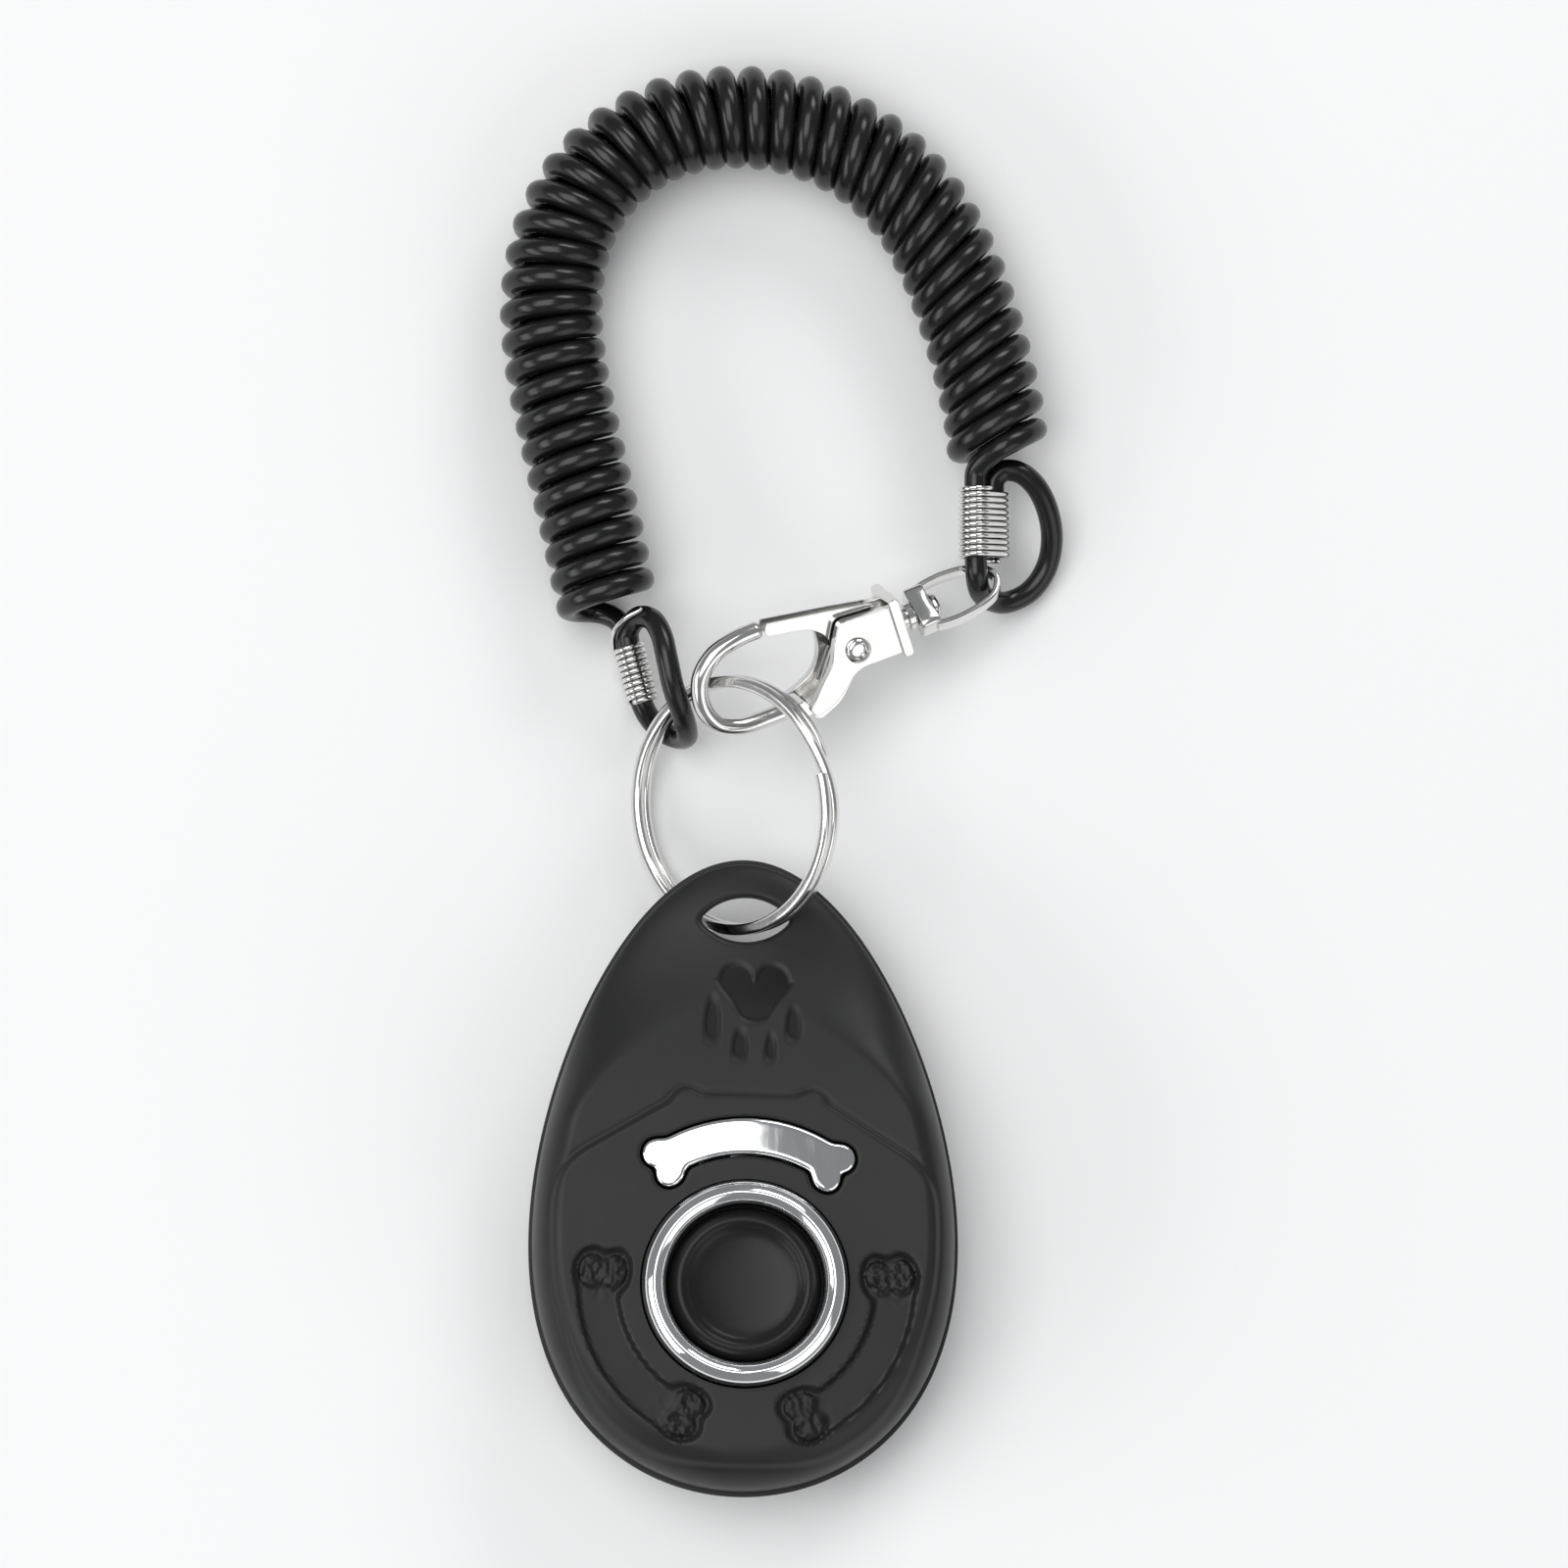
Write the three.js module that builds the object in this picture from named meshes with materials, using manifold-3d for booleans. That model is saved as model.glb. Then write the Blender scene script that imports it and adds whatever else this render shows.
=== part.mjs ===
// A big-button clicker trainer with a split ring, a coiled wrist strap and a swivel snap hook.
// Millimetres, +Z up. The origin is on the case's flat back face. +Y runs to the ring and the strap,
// and the whole object lies on its back.
import * as THREE from 'three';
import { mergeVertices } from 'three/addons/utils/BufferGeometryUtils.js';
import Module from 'manifold-3d';

const wasm = await Module();
wasm.setup();

const DEGREE = Math.PI / 180;

// ---------------------------------------------------------------- driving dimensions

const GAP = 0.3;

// The case's outline is an egg: an ellipse whose width tapers towards the tab.
const EGG = { halfWidth: 21.61, halfLength: 32.89, centreY: 6.73, taper: -0.2197, taper2: 0.033 };
const SEAM_Z = 9.2;
const RIM_HALF = 0.5;
const FRONT = { height: 6.2, tabHeight: 3.2, from: 12, to: 33, shoulder: 0.86, tabShoulder: 0.35 };
const BACK = { height: 9.2, tabHeight: 2.4, from: 9, to: 33, shoulder: 0.8, tabShoulder: 0.45 };
const CAVITY = { scale: 0.87, floor: 2.2, ceiling: 13.4, endY: 15 };
const TAB_HOLE = { y: 33.3, width: 9.2, height: 4.3 };

const PLATEAU_Z = SEAM_Z + FRONT.height;
const BUTTON_Y = -4.6;
const WELL = { radius: 8.8, collarRadius: 11.7, collarZ: 12.4, seatZ: 13.9 };
const BEZEL = { outer: 10.65, inner: 9.0, bottom: WELL.seatZ + GAP, top: 18.0 };
const BUTTON = { radius: 7.9, flangeRadius: 9.8, flangeZ: 10.8, flangeTop: 12.1, rim: 15.9, stem: 1.8 };

const BONES = { circle: 15.45, shaft: 3.8, lobe: 1.75, lobeOffset: 1.45 };
const INLAY = { from: 54, to: 125, floor: 14.6, top: 15.85 };
const SIDE_BONES = [[-68, 6], [171, 245]];
const SIDE_BONE_DEPTH = 0.6;

const LEAF = { width: 9, thickness: 0.4, z: 6.3, rear: 12, front: -12, pivotY: 10, crown: 0.9 };
const CLAMP = { length: 3, width: 12, height: 1.6 };
const PLATE_SCREW = { shaft: 0.8, head: 1.7, headHeight: 1.1, tip: 3.0 };
const CASE_SCREW = { shaft: 1.1, head: 2.0, headHeight: 1.4, hole: 1.4, counterbore: 2.3 };
const CASE_SCREWS = {
  left: { x: -14.6, y: -1, head: 0.6, tip: 13.0 },
  right: { x: 14.6, y: -1, head: 0.6, tip: 13.0 },
  top: { x: 0, y: 24, head: 5.4, tip: 12.4 },
};
const BOSS_RADIUS = 2.9;
const SOUND_SLOTS = { count: 3, length: 12, width: 2, firstY: -9, pitch: 3.5 };

// The split ring stands in the tab's hole, leaning over sideways.
const RING = { radius: 12.8, wire: 1.4, band: 2.4, centre: [-0.9, 45.2, 10.3], lean: 43, turn: 10 };

// The snap hook's own frame: x from its flange to its claw, y to its gate, z to its lower cheek.
// The eye has turned on its stud, away from the hook's own roll.
const CLASP = { flange: [16.03, 64.57, 8.4], heading: 204.3, rise: 8.5, roll: 29, eyeTurn: 54 };
const CHEEKS = { half: 2.4, slot: 1.3 };
const RIVET = { x: 5.6, y: -0.2, shaft: 0.7, hole: 1.0, head: 1.3 };
const CLAW_WIRE = 1.0;
const GATE_REACH = 8.85;

// The strap's moulded coil, and its plain ends in cord of the same thickness.
const CORD = 2.3;
const COIL = { diameter: 10.3, sides: 12, steps: 26 };
const COIL_LINE = [
  [-13.95, 66.5, 5.2], [-15.4, 73.4, 5.2], [-17.6, 82.9, 5.2], [-19.4, 92.0, 5.2], [-19.7, 99.0, 5.2],
  [-18.0, 106.3, 5.2], [-14.0, 111.8, 5.2], [-8.2, 115.5, 5.2], [-1.1, 116.9, 5.2], [6.2, 115.9, 5.2],
  [12.9, 112.7, 5.2], [17.9, 107.9, 5.2], [21.2, 102.3, 5.2], [23.4, 96.6, 5.2], [25.1, 90.6, 5.2],
  [26.1, 85.8, 5.2], [26.6, 81.6, 5.2],
];
const RING_LOOP = [
  [-12.3, 64.2, 2.6], [-11.9, 62.6, 2.75], [-11.05, 59.4, 2.7], [-10.2, 56.2, 2.55], [-9.2, 54.6, 1.9],
  [-7.9, 53.5, 1.6], [-6.6, 52.9, 2.4], [-5.8, 52.8, 4.6], [-5.75, 53.5, 7.1], [-6.1, 55.2, 10.0],
  [-6.7, 57.4, 11.4], [-7.4, 60.1, 11.7], [-8.2, 62.8, 10.8], [-9.3, 64.5, 9.3], [-10.8, 64.9, 7.4],
  [-11.8, 63.6, 5.8], [-11.65, 61.9, 5.5], [-10.4, 57.0, 5.4],
];
const CLASP_LOOP = [
  [24.65, 79.6, 7.55], [24.65, 77.6, 7.55], [24.65, 74.4, 7.55], [24.65, 71.8, 7.55], [24.5, 70.6, 8.2],
  [24.35, 69.4, 8.55], [24.3, 68.35, 7.1], [24.5, 67.3, 5.0], [25.7, 66.2, 3.0], [27.6, 66.0, 1.8],
  [29.8, 67.1, 1.6], [31.5, 69.6, 1.9], [32.2, 72.9, 3.0], [31.6, 76.4, 4.4], [30.1, 78.8, 5.4],
  [28.3, 80.0, 5.7], [26.9, 79.5, 5.65], [26.55, 78.4, 5.65], [26.55, 71.8, 5.65],
];
const FERRULES = {
  ferrule_ring_end: { from: [-11.9, 62.6, 4.1], to: [-10.2, 56.2, 4.0], strands: [0, 0, 1] },
  ferrule_clasp_end: { from: [25.6, 78.4, 6.6], to: [25.6, 71.8, 6.6], strands: [1, 0, -1] },
};
const FERRULE = { wall: 0.65, strandGap: 2.7, facets: 20 };

// ---------------------------------------------------------------- finishes

const blackPlastic = () => new THREE.MeshStandardMaterial({ color: 0x1d1d1e, roughness: 0.5, metalness: 0 });
const blackButton = () => new THREE.MeshStandardMaterial({ color: 0x161617, roughness: 0.4, metalness: 0 });
const blackCord = () => new THREE.MeshStandardMaterial({ color: 0x0d0d0e, roughness: 0.2, metalness: 0 });
const chrome = () => new THREE.MeshStandardMaterial({ color: 0xdfe1e4, roughness: 0.06, metalness: 1 });
const nickel = () => new THREE.MeshStandardMaterial({ color: 0xc9cacc, roughness: 0.16, metalness: 1 });
const springSteel = () => new THREE.MeshStandardMaterial({ color: 0xa5a7aa, roughness: 0.3, metalness: 1 });

// ---------------------------------------------------------------- solids

const vector = (point) => new THREE.Vector3(...point);

function solid(geometry) {
  const plain = geometry.clone();
  plain.deleteAttribute('normal');
  plain.deleteAttribute('uv');
  const merged = mergeVertices(plain, 1e-4);
  const mesh = new wasm.Mesh({
    numProp: 3,
    vertProperties: new Float32Array(merged.attributes.position.array),
    triVerts: new Uint32Array(merged.index.array),
  });
  return new wasm.Manifold(mesh);
}

function piece(name, shape, finish) {
  const { vertProperties, triVerts } = shape.getMesh();
  const geometry = new THREE.BufferGeometry();
  geometry.setAttribute('position', new THREE.BufferAttribute(vertProperties, 3));
  geometry.setIndex(new THREE.BufferAttribute(triVerts, 1));
  geometry.computeVertexNormals();
  const mesh = new THREE.Mesh(geometry, finish);
  mesh.name = name;
  return mesh;
}

function box(from, to) {
  const size = vector(to).sub(vector(from));
  const centre = vector(from).addScaledVector(size, 0.5);
  return solid(new THREE.BoxGeometry(...size).translate(...centre));
}

function upright(x, y, radius, bottom, top, facets = 28) {
  const geometry = new THREE.CylinderGeometry(radius, radius, top - bottom, facets);
  return solid(geometry.rotateX(90 * DEGREE).translate(x, y, (bottom + top) / 2));
}

// A turned solid about a vertical line. The profile is a list of [radius, height], going up.
function turned(profile, facets) {
  const points = profile.map(([radius, height]) => new THREE.Vector2(radius, height));
  return new THREE.LatheGeometry(points, facets).rotateX(90 * DEGREE);
}

// A flat outline, extruded between two heights.
function slab(points, bottom, top) {
  const outline = new THREE.Shape(points.map(([x, y]) => new THREE.Vector2(x, y)));
  const settings = { depth: top - bottom, bevelEnabled: false, curveSegments: 12 };
  return solid(new THREE.ExtrudeGeometry(outline, settings).translate(0, 0, bottom));
}

// A round bar along a smooth curve through the given points.
function bar(points, radius, sides, steps) {
  const section = new THREE.Shape();
  for (let side = 0; side < sides; side++) {
    const angle = (side + 0.5) / sides * 2 * Math.PI;
    const corner = [radius * Math.cos(angle), radius * Math.sin(angle)];
    if (side === 0) {
      section.moveTo(...corner);
    } else {
      section.lineTo(...corner);
    }
  }
  const extrudePath = new THREE.CatmullRomCurve3(points.map(vector), false, 'centripetal');
  return solid(new THREE.ExtrudeGeometry(section, { steps, bevelEnabled: false, extrudePath }));
}

// ---------------------------------------------------------------- the case's surface

function smooth(value, from, to) {
  const share = Math.min(1, Math.max(0, (value - from) / (to - from)));
  return share * share * (3 - 2 * share);
}

function eggPoint(turn, scale) {
  const cosine = Math.cos(turn);
  const width = 1 + EGG.taper * cosine + EGG.taper2 * cosine * cosine;
  return [-EGG.halfWidth * Math.sin(turn) * width * scale, EGG.centreY + EGG.halfLength * cosine * scale];
}

// How far one face of the case stands off the seam: flat inside the shoulder, round beyond it,
// and lower and rounder towards the tab.
function faceHeight(face, y, scale) {
  const towardsTab = smooth(y, face.from, face.to);
  const height = THREE.MathUtils.lerp(face.height, face.tabHeight, towardsTab);
  const shoulder = THREE.MathUtils.lerp(face.shoulder, face.tabShoulder, towardsTab);
  const beyond = Math.max(0, (scale - shoulder) / (1 - shoulder));
  return RIM_HALF + (height - RIM_HALF) * Math.sqrt(Math.max(0, 1 - beyond * beyond));
}

// The whole case as a stack of egg outlines, from the middle of the back round to the front.
function caseBlock() {
  const around = 48;
  const scales = [0.35, 0.6, 0.8, 0.9, 0.96, 1];
  const positions = [];
  const indices = [];
  const addOutline = (scale, height) => {
    for (let index = 0; index < around; index++) {
      const [x, y] = eggPoint(index / around * 2 * Math.PI, scale);
      positions.push(x, y, height(y, scale));
    }
  };
  const backHeight = (y, scale) => SEAM_Z - faceHeight(BACK, y, scale);
  const frontHeight = (y, scale) => SEAM_Z + faceHeight(FRONT, y, scale);
  scales.forEach((scale) => addOutline(scale, backHeight));
  [...scales].reverse().forEach((scale) => addOutline(scale, frontHeight));
  const outlines = 2 * scales.length;
  const backCentre = positions.length / 3;
  positions.push(0, EGG.centreY, backHeight(EGG.centreY, 0));
  positions.push(0, EGG.centreY, frontHeight(EGG.centreY, 0));
  for (let index = 0; index < around; index++) {
    const next = (index + 1) % around;
    for (let ring = 0; ring < outlines - 1; ring++) {
      const low = ring * around;
      const high = low + around;
      indices.push(low + index, low + next, high + next);
      indices.push(low + index, high + next, high + index);
    }
    const last = (outlines - 1) * around;
    indices.push(backCentre, next, index);
    indices.push(backCentre + 1, last + index, last + next);
  }
  const geometry = new THREE.BufferGeometry();
  geometry.setAttribute('position', new THREE.Float32BufferAttribute(positions, 3));
  geometry.setIndex(indices);
  return solid(geometry);
}

function eggPrism(scale, bottom, top) {
  const points = [];
  for (let index = 0; index < 40; index++) {
    points.push(eggPoint(index / 40 * 2 * Math.PI, scale));
  }
  return slab(points, bottom, top);
}

function cavity() {
  const { scale, floor, ceiling, endY } = CAVITY;
  return eggPrism(scale, floor, ceiling).intersect(box([-30, -30, 0], [30, endY, 20]));
}

function tabHole() {
  const radius = TAB_HOLE.height / 2;
  const reach = TAB_HOLE.width / 2 - radius;
  const middle = box([-reach, TAB_HOLE.y - radius, -1], [reach, TAB_HOLE.y + radius, 20]);
  return middle.add(upright(-reach, TAB_HOLE.y, radius, -1, 20)).add(upright(reach, TAB_HOLE.y, radius, -1, 20));
}

// A bone bent round the button: a band of a circle with two round lobes at each end.
function bentBone(from, to, bottom, top, grow = 0) {
  const outer = BONES.circle + BONES.shaft / 2 + grow;
  const inner = BONES.circle - BONES.shaft / 2 - grow;
  const steps = 14;
  const points = [];
  const place = (radius, angle) => [radius * Math.cos(angle * DEGREE), BUTTON_Y + radius * Math.sin(angle * DEGREE)];
  for (let step = 0; step <= steps; step++) {
    points.push(place(outer, from + (to - from) * step / steps));
  }
  for (let step = steps; step >= 0; step--) {
    points.push(place(inner, from + (to - from) * step / steps));
  }
  let bone = slab(points, bottom, top);
  for (const angle of [from, to]) {
    for (const offset of [-BONES.lobeOffset, BONES.lobeOffset]) {
      const [x, y] = place(BONES.circle + offset, angle);
      bone = bone.add(upright(x, y, BONES.lobe + grow, bottom, top, 18));
    }
  }
  return bone;
}

function screwBosses(block) {
  const sides = [CASE_SCREWS.left, CASE_SCREWS.right];
  const posts = sides.map(({ x, y }) => upright(x, y, BOSS_RADIUS, 0.1, PLATEAU_Z - 0.5));
  return posts[0].add(posts[1]).intersect(block);
}

function screwHoles() {
  let holes = null;
  for (const { x, y, head, tip } of Object.values(CASE_SCREWS)) {
    const shaft = upright(x, y, CASE_SCREW.hole, head, tip + GAP, 20);
    const counterbore = upright(x, y, CASE_SCREW.counterbore, -1, head + CASE_SCREW.headHeight + GAP);
    const hole = shaft.add(counterbore);
    holes = holes ? holes.add(hole) : hole;
  }
  return holes;
}

// ---------------------------------------------------------------- case pieces

function frontShell(block) {
  const collar = upright(0, BUTTON_Y, WELL.collarRadius, WELL.collarZ, PLATEAU_Z - 0.5, 40);
  let shell = block.subtract(cavity()).add(screwBosses(block)).add(collar);
  shell = shell.intersect(box([-30, -30, SEAM_Z + GAP / 2], [30, 50, 20]));
  shell = shell.subtract(upright(0, BUTTON_Y, WELL.radius, 5, 20, 40));
  shell = shell.subtract(upright(0, BUTTON_Y, BEZEL.outer + GAP, WELL.seatZ, 20, 40));
  shell = shell.subtract(bentBone(INLAY.from, INLAY.to, INLAY.floor - GAP, 20, GAP));
  for (const [from, to] of SIDE_BONES) {
    shell = shell.subtract(bentBone(from, to, PLATEAU_Z - SIDE_BONE_DEPTH, 20));
  }
  return piece('front_shell', shell.subtract(tabHole()).subtract(screwHoles()), blackPlastic());
}

function soundSlots() {
  const { count, length, width, firstY, pitch } = SOUND_SLOTS;
  let slots = null;
  for (let index = 0; index < count; index++) {
    const y = firstY - index * pitch;
    const slot = box([-length / 2, y - width / 2, -1], [length / 2, y + width / 2, CAVITY.floor + 1]);
    slots = slots ? slots.add(slot) : slot;
  }
  return slots;
}

// The lower half of the case. A block inside it carries the leaf's clamped end.
function backShell(block) {
  const rear = LEAF.pivotY + CLAMP.length / 2;
  const front = LEAF.pivotY - CLAMP.length / 2;
  const support = box([-CLAMP.width / 2, front, 1.5], [CLAMP.width / 2, rear, LEAF.z - GAP]);
  const screwHole = upright(0, LEAF.pivotY, PLATE_SCREW.shaft + GAP, PLATE_SCREW.tip - GAP, 20, 16);
  let shell = block.subtract(cavity()).add(screwBosses(block)).add(support);
  shell = shell.intersect(box([-30, -30, -1], [30, 50, SEAM_Z - GAP / 2]));
  shell = shell.subtract(screwHole).subtract(soundSlots()).subtract(tabHole()).subtract(screwHoles());
  return piece('back_shell', shell, blackPlastic());
}

function caseScrew(side) {
  const { x, y, head, tip } = CASE_SCREWS[side];
  const neck = head + CASE_SCREW.headHeight;
  const profile = [[0, head], [CASE_SCREW.head, head], [CASE_SCREW.head, neck - 0.5], [CASE_SCREW.shaft, neck],
    [CASE_SCREW.shaft, tip - 1.5], [0, tip]];
  return piece(`case_screw_${side}`, solid(turned(profile, 16).translate(x, y, 0)), springSteel());
}

function buttonBezel() {
  const { outer, inner, bottom, top } = BEZEL;
  const profile = [[inner, bottom], [outer, bottom], [outer, bottom + 1.5], [outer - 0.15, top - 1.2],
    [outer - 0.6, top - 0.3], [outer - 1.0, top], [inner + 0.1, top - 0.1], [inner - 0.1, top - 0.5], [inner, bottom]];
  return piece('button_bezel', solid(turned(profile, 40).translate(0, BUTTON_Y, 0)), chrome());
}

function boneInlay() {
  return piece('bone_inlay', bentBone(INLAY.from, INLAY.to, INLAY.floor, INLAY.top), chrome());
}

function buttonCap() {
  const { radius, flangeRadius, flangeZ, flangeTop, rim, stem } = BUTTON;
  const leafTop = LEAF.z + LEAF.thickness + LEAF.crown;
  const profile = [[0, leafTop + GAP], [stem, leafTop + GAP], [stem, flangeZ], [flangeRadius, flangeZ],
    [flangeRadius, flangeTop], [radius, flangeTop], [radius, rim - 0.6], [radius - 0.5, rim - 0.1],
    [radius - 1.2, rim], [radius - 1.8, rim - 0.25], [4.2, rim - 0.8], [0, rim - 1.05]];
  return piece('button_cap', solid(turned(profile, 32).translate(0, BUTTON_Y, 0)), blackButton());
}

// ---------------------------------------------------------------- click mechanism

// A strip of spring steel: flat where it is clamped, and bowed up under the button's stem.
function clickPlate() {
  const { width, thickness, z, rear, front, pivotY, crown } = LEAF;
  const steps = 12;
  const bowStart = pivotY - 3;
  const lower = [[rear, z]];
  for (let step = 0; step <= steps; step++) {
    const y = bowStart + (front - bowStart) * step / steps;
    lower.push([y, z + crown * Math.sin(Math.PI * Math.min(1, (bowStart - y) / (2 * (bowStart - BUTTON_Y))))]);
  }
  const upper = [...lower].reverse().map(([y, height]) => [y, height + thickness]);
  const outline = new THREE.Shape([...lower, ...upper].map(([y, height]) => new THREE.Vector2(y, height)));
  const settings = { depth: width, bevelEnabled: false };
  const strip = new THREE.ExtrudeGeometry(outline, settings);
  const swapAxes = new THREE.Matrix4().makeBasis(vector([0, 1, 0]), vector([0, 0, 1]), vector([1, 0, 0]));
  const leaf = solid(strip.applyMatrix4(swapAxes).translate(-width / 2, 0, 0));
  const hole = upright(0, pivotY, PLATE_SCREW.shaft + 0.6, 0, 12, 16);
  return piece('click_plate', leaf.subtract(hole), springSteel());
}

function plateClamp() {
  const bottom = LEAF.z + LEAF.thickness + GAP;
  const from = [-CLAMP.width / 2, LEAF.pivotY - CLAMP.length / 2, bottom];
  const to = [CLAMP.width / 2, LEAF.pivotY + CLAMP.length / 2, bottom + CLAMP.height];
  const hole = upright(0, LEAF.pivotY, PLATE_SCREW.shaft + GAP, 0, 12, 16);
  return piece('plate_clamp', box(from, to).subtract(hole), blackPlastic());
}

function plateScrew() {
  const seat = LEAF.z + LEAF.thickness + CLAMP.height + 2 * GAP;
  const profile = [[0, PLATE_SCREW.tip], [PLATE_SCREW.shaft, PLATE_SCREW.tip + 1], [PLATE_SCREW.shaft, seat],
    [PLATE_SCREW.head, seat], [PLATE_SCREW.head, seat + 0.7], [0, seat + PLATE_SCREW.headHeight]];
  return piece('plate_screw', solid(turned(profile, 16).translate(0, LEAF.pivotY, 0)), springSteel());
}

// ---------------------------------------------------------------- split ring

// The ring lies in the plane of its long way up the picture and a way that leans up out of it.
function ringBasis() {
  const along = vector([-Math.sin(RING.turn * DEGREE), Math.cos(RING.turn * DEGREE), 0]);
  const level = vector([Math.cos(RING.turn * DEGREE), Math.sin(RING.turn * DEGREE), 0]);
  const across = level.multiplyScalar(Math.cos(RING.lean * DEGREE)).add(vector([0, 0, Math.sin(RING.lean * DEGREE)]));
  return new THREE.Matrix4().makeBasis(across, along, across.clone().cross(along)).setPosition(...RING.centre);
}

function splitRing() {
  const inner = RING.radius - RING.wire / 2;
  const outer = RING.radius + RING.wire / 2;
  const half = RING.band / 2;
  const round = 0.4;
  const profile = [[inner, -half + round], [inner + round, -half], [outer - round, -half], [outer, -half + round],
    [outer, half - round], [outer - round, half], [inner + round, half], [inner, half - round],
    [inner, -half + round]];
  const ring = turned(profile, 44).applyMatrix4(ringBasis());
  return piece('split_ring', solid(ring), nickel());
}

// ---------------------------------------------------------------- snap hook

function placeClasp(group) {
  const heading = CLASP.heading * DEGREE;
  const rise = CLASP.rise * DEGREE;
  const roll = CLASP.roll * DEGREE;
  const along = vector([Math.cos(heading) * Math.cos(rise), Math.sin(heading) * Math.cos(rise), Math.sin(rise)]);
  const level = vector([Math.sin(heading), -Math.cos(heading), 0]);
  const up = level.clone().cross(along);
  const gateSide = level.clone().multiplyScalar(Math.cos(roll)).addScaledVector(up, Math.sin(roll));
  const cheekSide = along.clone().cross(gateSide);
  const matrix = new THREE.Matrix4().makeBasis(along, gateSide, cheekSide).setPosition(...CLASP.flange);
  matrix.decompose(group.position, group.quaternion, group.scale);
}

// A cylinder along the hook's own length.
function shank(radius, from, to, facets = 20) {
  const geometry = new THREE.CylinderGeometry(radius, radius, to - from, facets);
  return solid(geometry.rotateZ(90 * DEGREE).translate((from + to) / 2, 0, 0));
}

// Flange, two cheeks with the gate's slot between them, and the claw. The swivel stud with its
// peened head stands out of the flange.
function claspBody() {
  const cheekOutline = [[0.9, 2.6], [0.9, -2.7], [4.0, -3.3], [8.0, -4.4], [11.5, -5.2], [14.2, -5.2],
    [14.2, -3.4], [12.2, -3.1], [10.2, -2.3], [9.0, -0.9], [8.5, 0.9], [8.5, 3.0]];
  const clawLine = [[13.2, -4.3, 0], [16.0, -4.25, 0], [19.2, -3.9, 0], [21.5, -2.6, 0], [22.5, -0.2, 0],
    [21.9, 2.8, 0], [19.8, 4.7, 0], [16.8, 5.4, 0], [12.4, 5.4, 0]];
  const gateSweep = upright(RIVET.x, RIVET.y, GATE_REACH + GAP, -2, 2, 48);
  const claw = bar(clawLine, CLAW_WIRE, 8, 26).subtract(gateSweep.intersect(box([5, -1, -3], [20, 10, 3])));
  const slot = box([3.5, -8, -CHEEKS.slot], [12.6, 6, CHEEKS.slot]);
  const bore = upright(RIVET.x, RIVET.y, RIVET.hole, -4, 4, 16);
  const cheeks = slab(cheekOutline, -CHEEKS.half, CHEEKS.half).subtract(slot).subtract(bore);
  const flange = box([0, -3.5, -2.8], [1.1, 3.5, 2.8]);
  const stud = shank(1.0, -4.0, 0.5).add(shank(1.7, -4.7, -3.9));
  return piece('clasp_body', cheeks.add(claw).add(flange).add(stud), nickel());
}

// The gate's arm closes the claw, and its thumb lever comes out between the cheeks.
function claspGate() {
  const arm = [[4.6, 2.0], [3.9, 0.8], [3.9, -1.2], [5.0, -2.0], [6.4, -2.0], [7.8, -0.4], [9.4, 1.9],
    [14.2, 4.3], [14.2, 6.1], [7.0, 3.0]];
  const lever = [[4.6, -1.6], [6.6, -1.7], [8.2, -3.2], [9.6, -5.0], [12.0, -6.4], [12.1, -7.2], [11.4, -7.7],
    [8.6, -6.2], [7.2, -4.4]];
  const half = CHEEKS.slot - GAP;
  const reach = upright(RIVET.x, RIVET.y, GATE_REACH, -2, 2, 48);
  const eye = upright(RIVET.x, RIVET.y, RIVET.hole, -4, 4, 16);
  const springRoom = upright(RIVET.x, RIVET.y, 2.8, 0.1, 3, 20);
  const gate = slab(arm, -half, half).intersect(reach).add(slab(lever, -half, half));
  return piece('clasp_gate', gate.subtract(eye).subtract(springRoom), nickel());
}

// A torsion spring beside the gate's hub. Its free leg bears inside the hook's back.
function gateSpring() {
  const coil = [[1.1, 0.4], [1.7, 0.4], [1.7, 1.0], [1.1, 1.0], [1.1, 0.4]];
  const leg = new THREE.BoxGeometry(4.6, 0.4, 0.4).translate(3.5, 1.35, 0.7).rotateZ(-54 * DEGREE);
  const spring = solid(turned(coil, 20)).add(solid(leg)).translate([RIVET.x, RIVET.y, 0]);
  return piece('gate_spring', spring, springSteel());
}

function claspRivet() {
  const { shaft, head } = RIVET;
  const seat = CHEEKS.half + GAP / 2;
  const profile = [[0, -seat - 0.5], [head - 0.3, -seat - 0.5], [head, -seat], [shaft, -seat], [shaft, seat],
    [head, seat], [head - 0.3, seat + 0.5], [0, seat + 0.5]];
  return piece('clasp_rivet', solid(turned(profile, 16).translate(RIVET.x, RIVET.y, 0)), nickel());
}

// The eye turns on the stud: a block with a bore, and a wire bow that narrows to its far end.
function swivelEye() {
  const bow = [[-2.6, 1.6, 0], [-3.6, 2.5, 0], [-5.4, 2.9, 0], [-8.4, 2.7, 0], [-10.5, 1.9, 0], [-11.3, 0, 0],
    [-10.5, -1.9, 0], [-8.4, -2.7, 0], [-5.4, -2.9, 0], [-3.6, -2.5, 0], [-2.6, -1.6, 0]];
  const block = box([-3.6, -2.1, -1.7], [-1.4, 2.1, 1.7]);
  const eye = block.add(bar(bow, 0.55, 8, 28)).subtract(shank(1.3, -5, 0));
  return piece('swivel_eye', eye.rotate([CLASP.eyeTurn, 0, 0]), nickel());
}

function snapHook() {
  const group = new THREE.Group();
  placeClasp(group);
  group.add(claspBody(), claspGate(), gateSpring(), claspRivet(), swivelEye());
  return group;
}

// ---------------------------------------------------------------- wrist strap

function wristCoil() {
  return piece('wrist_coil', bar(COIL_LINE, COIL.diameter / 2, COIL.sides, COIL.steps), blackCord());
}

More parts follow.
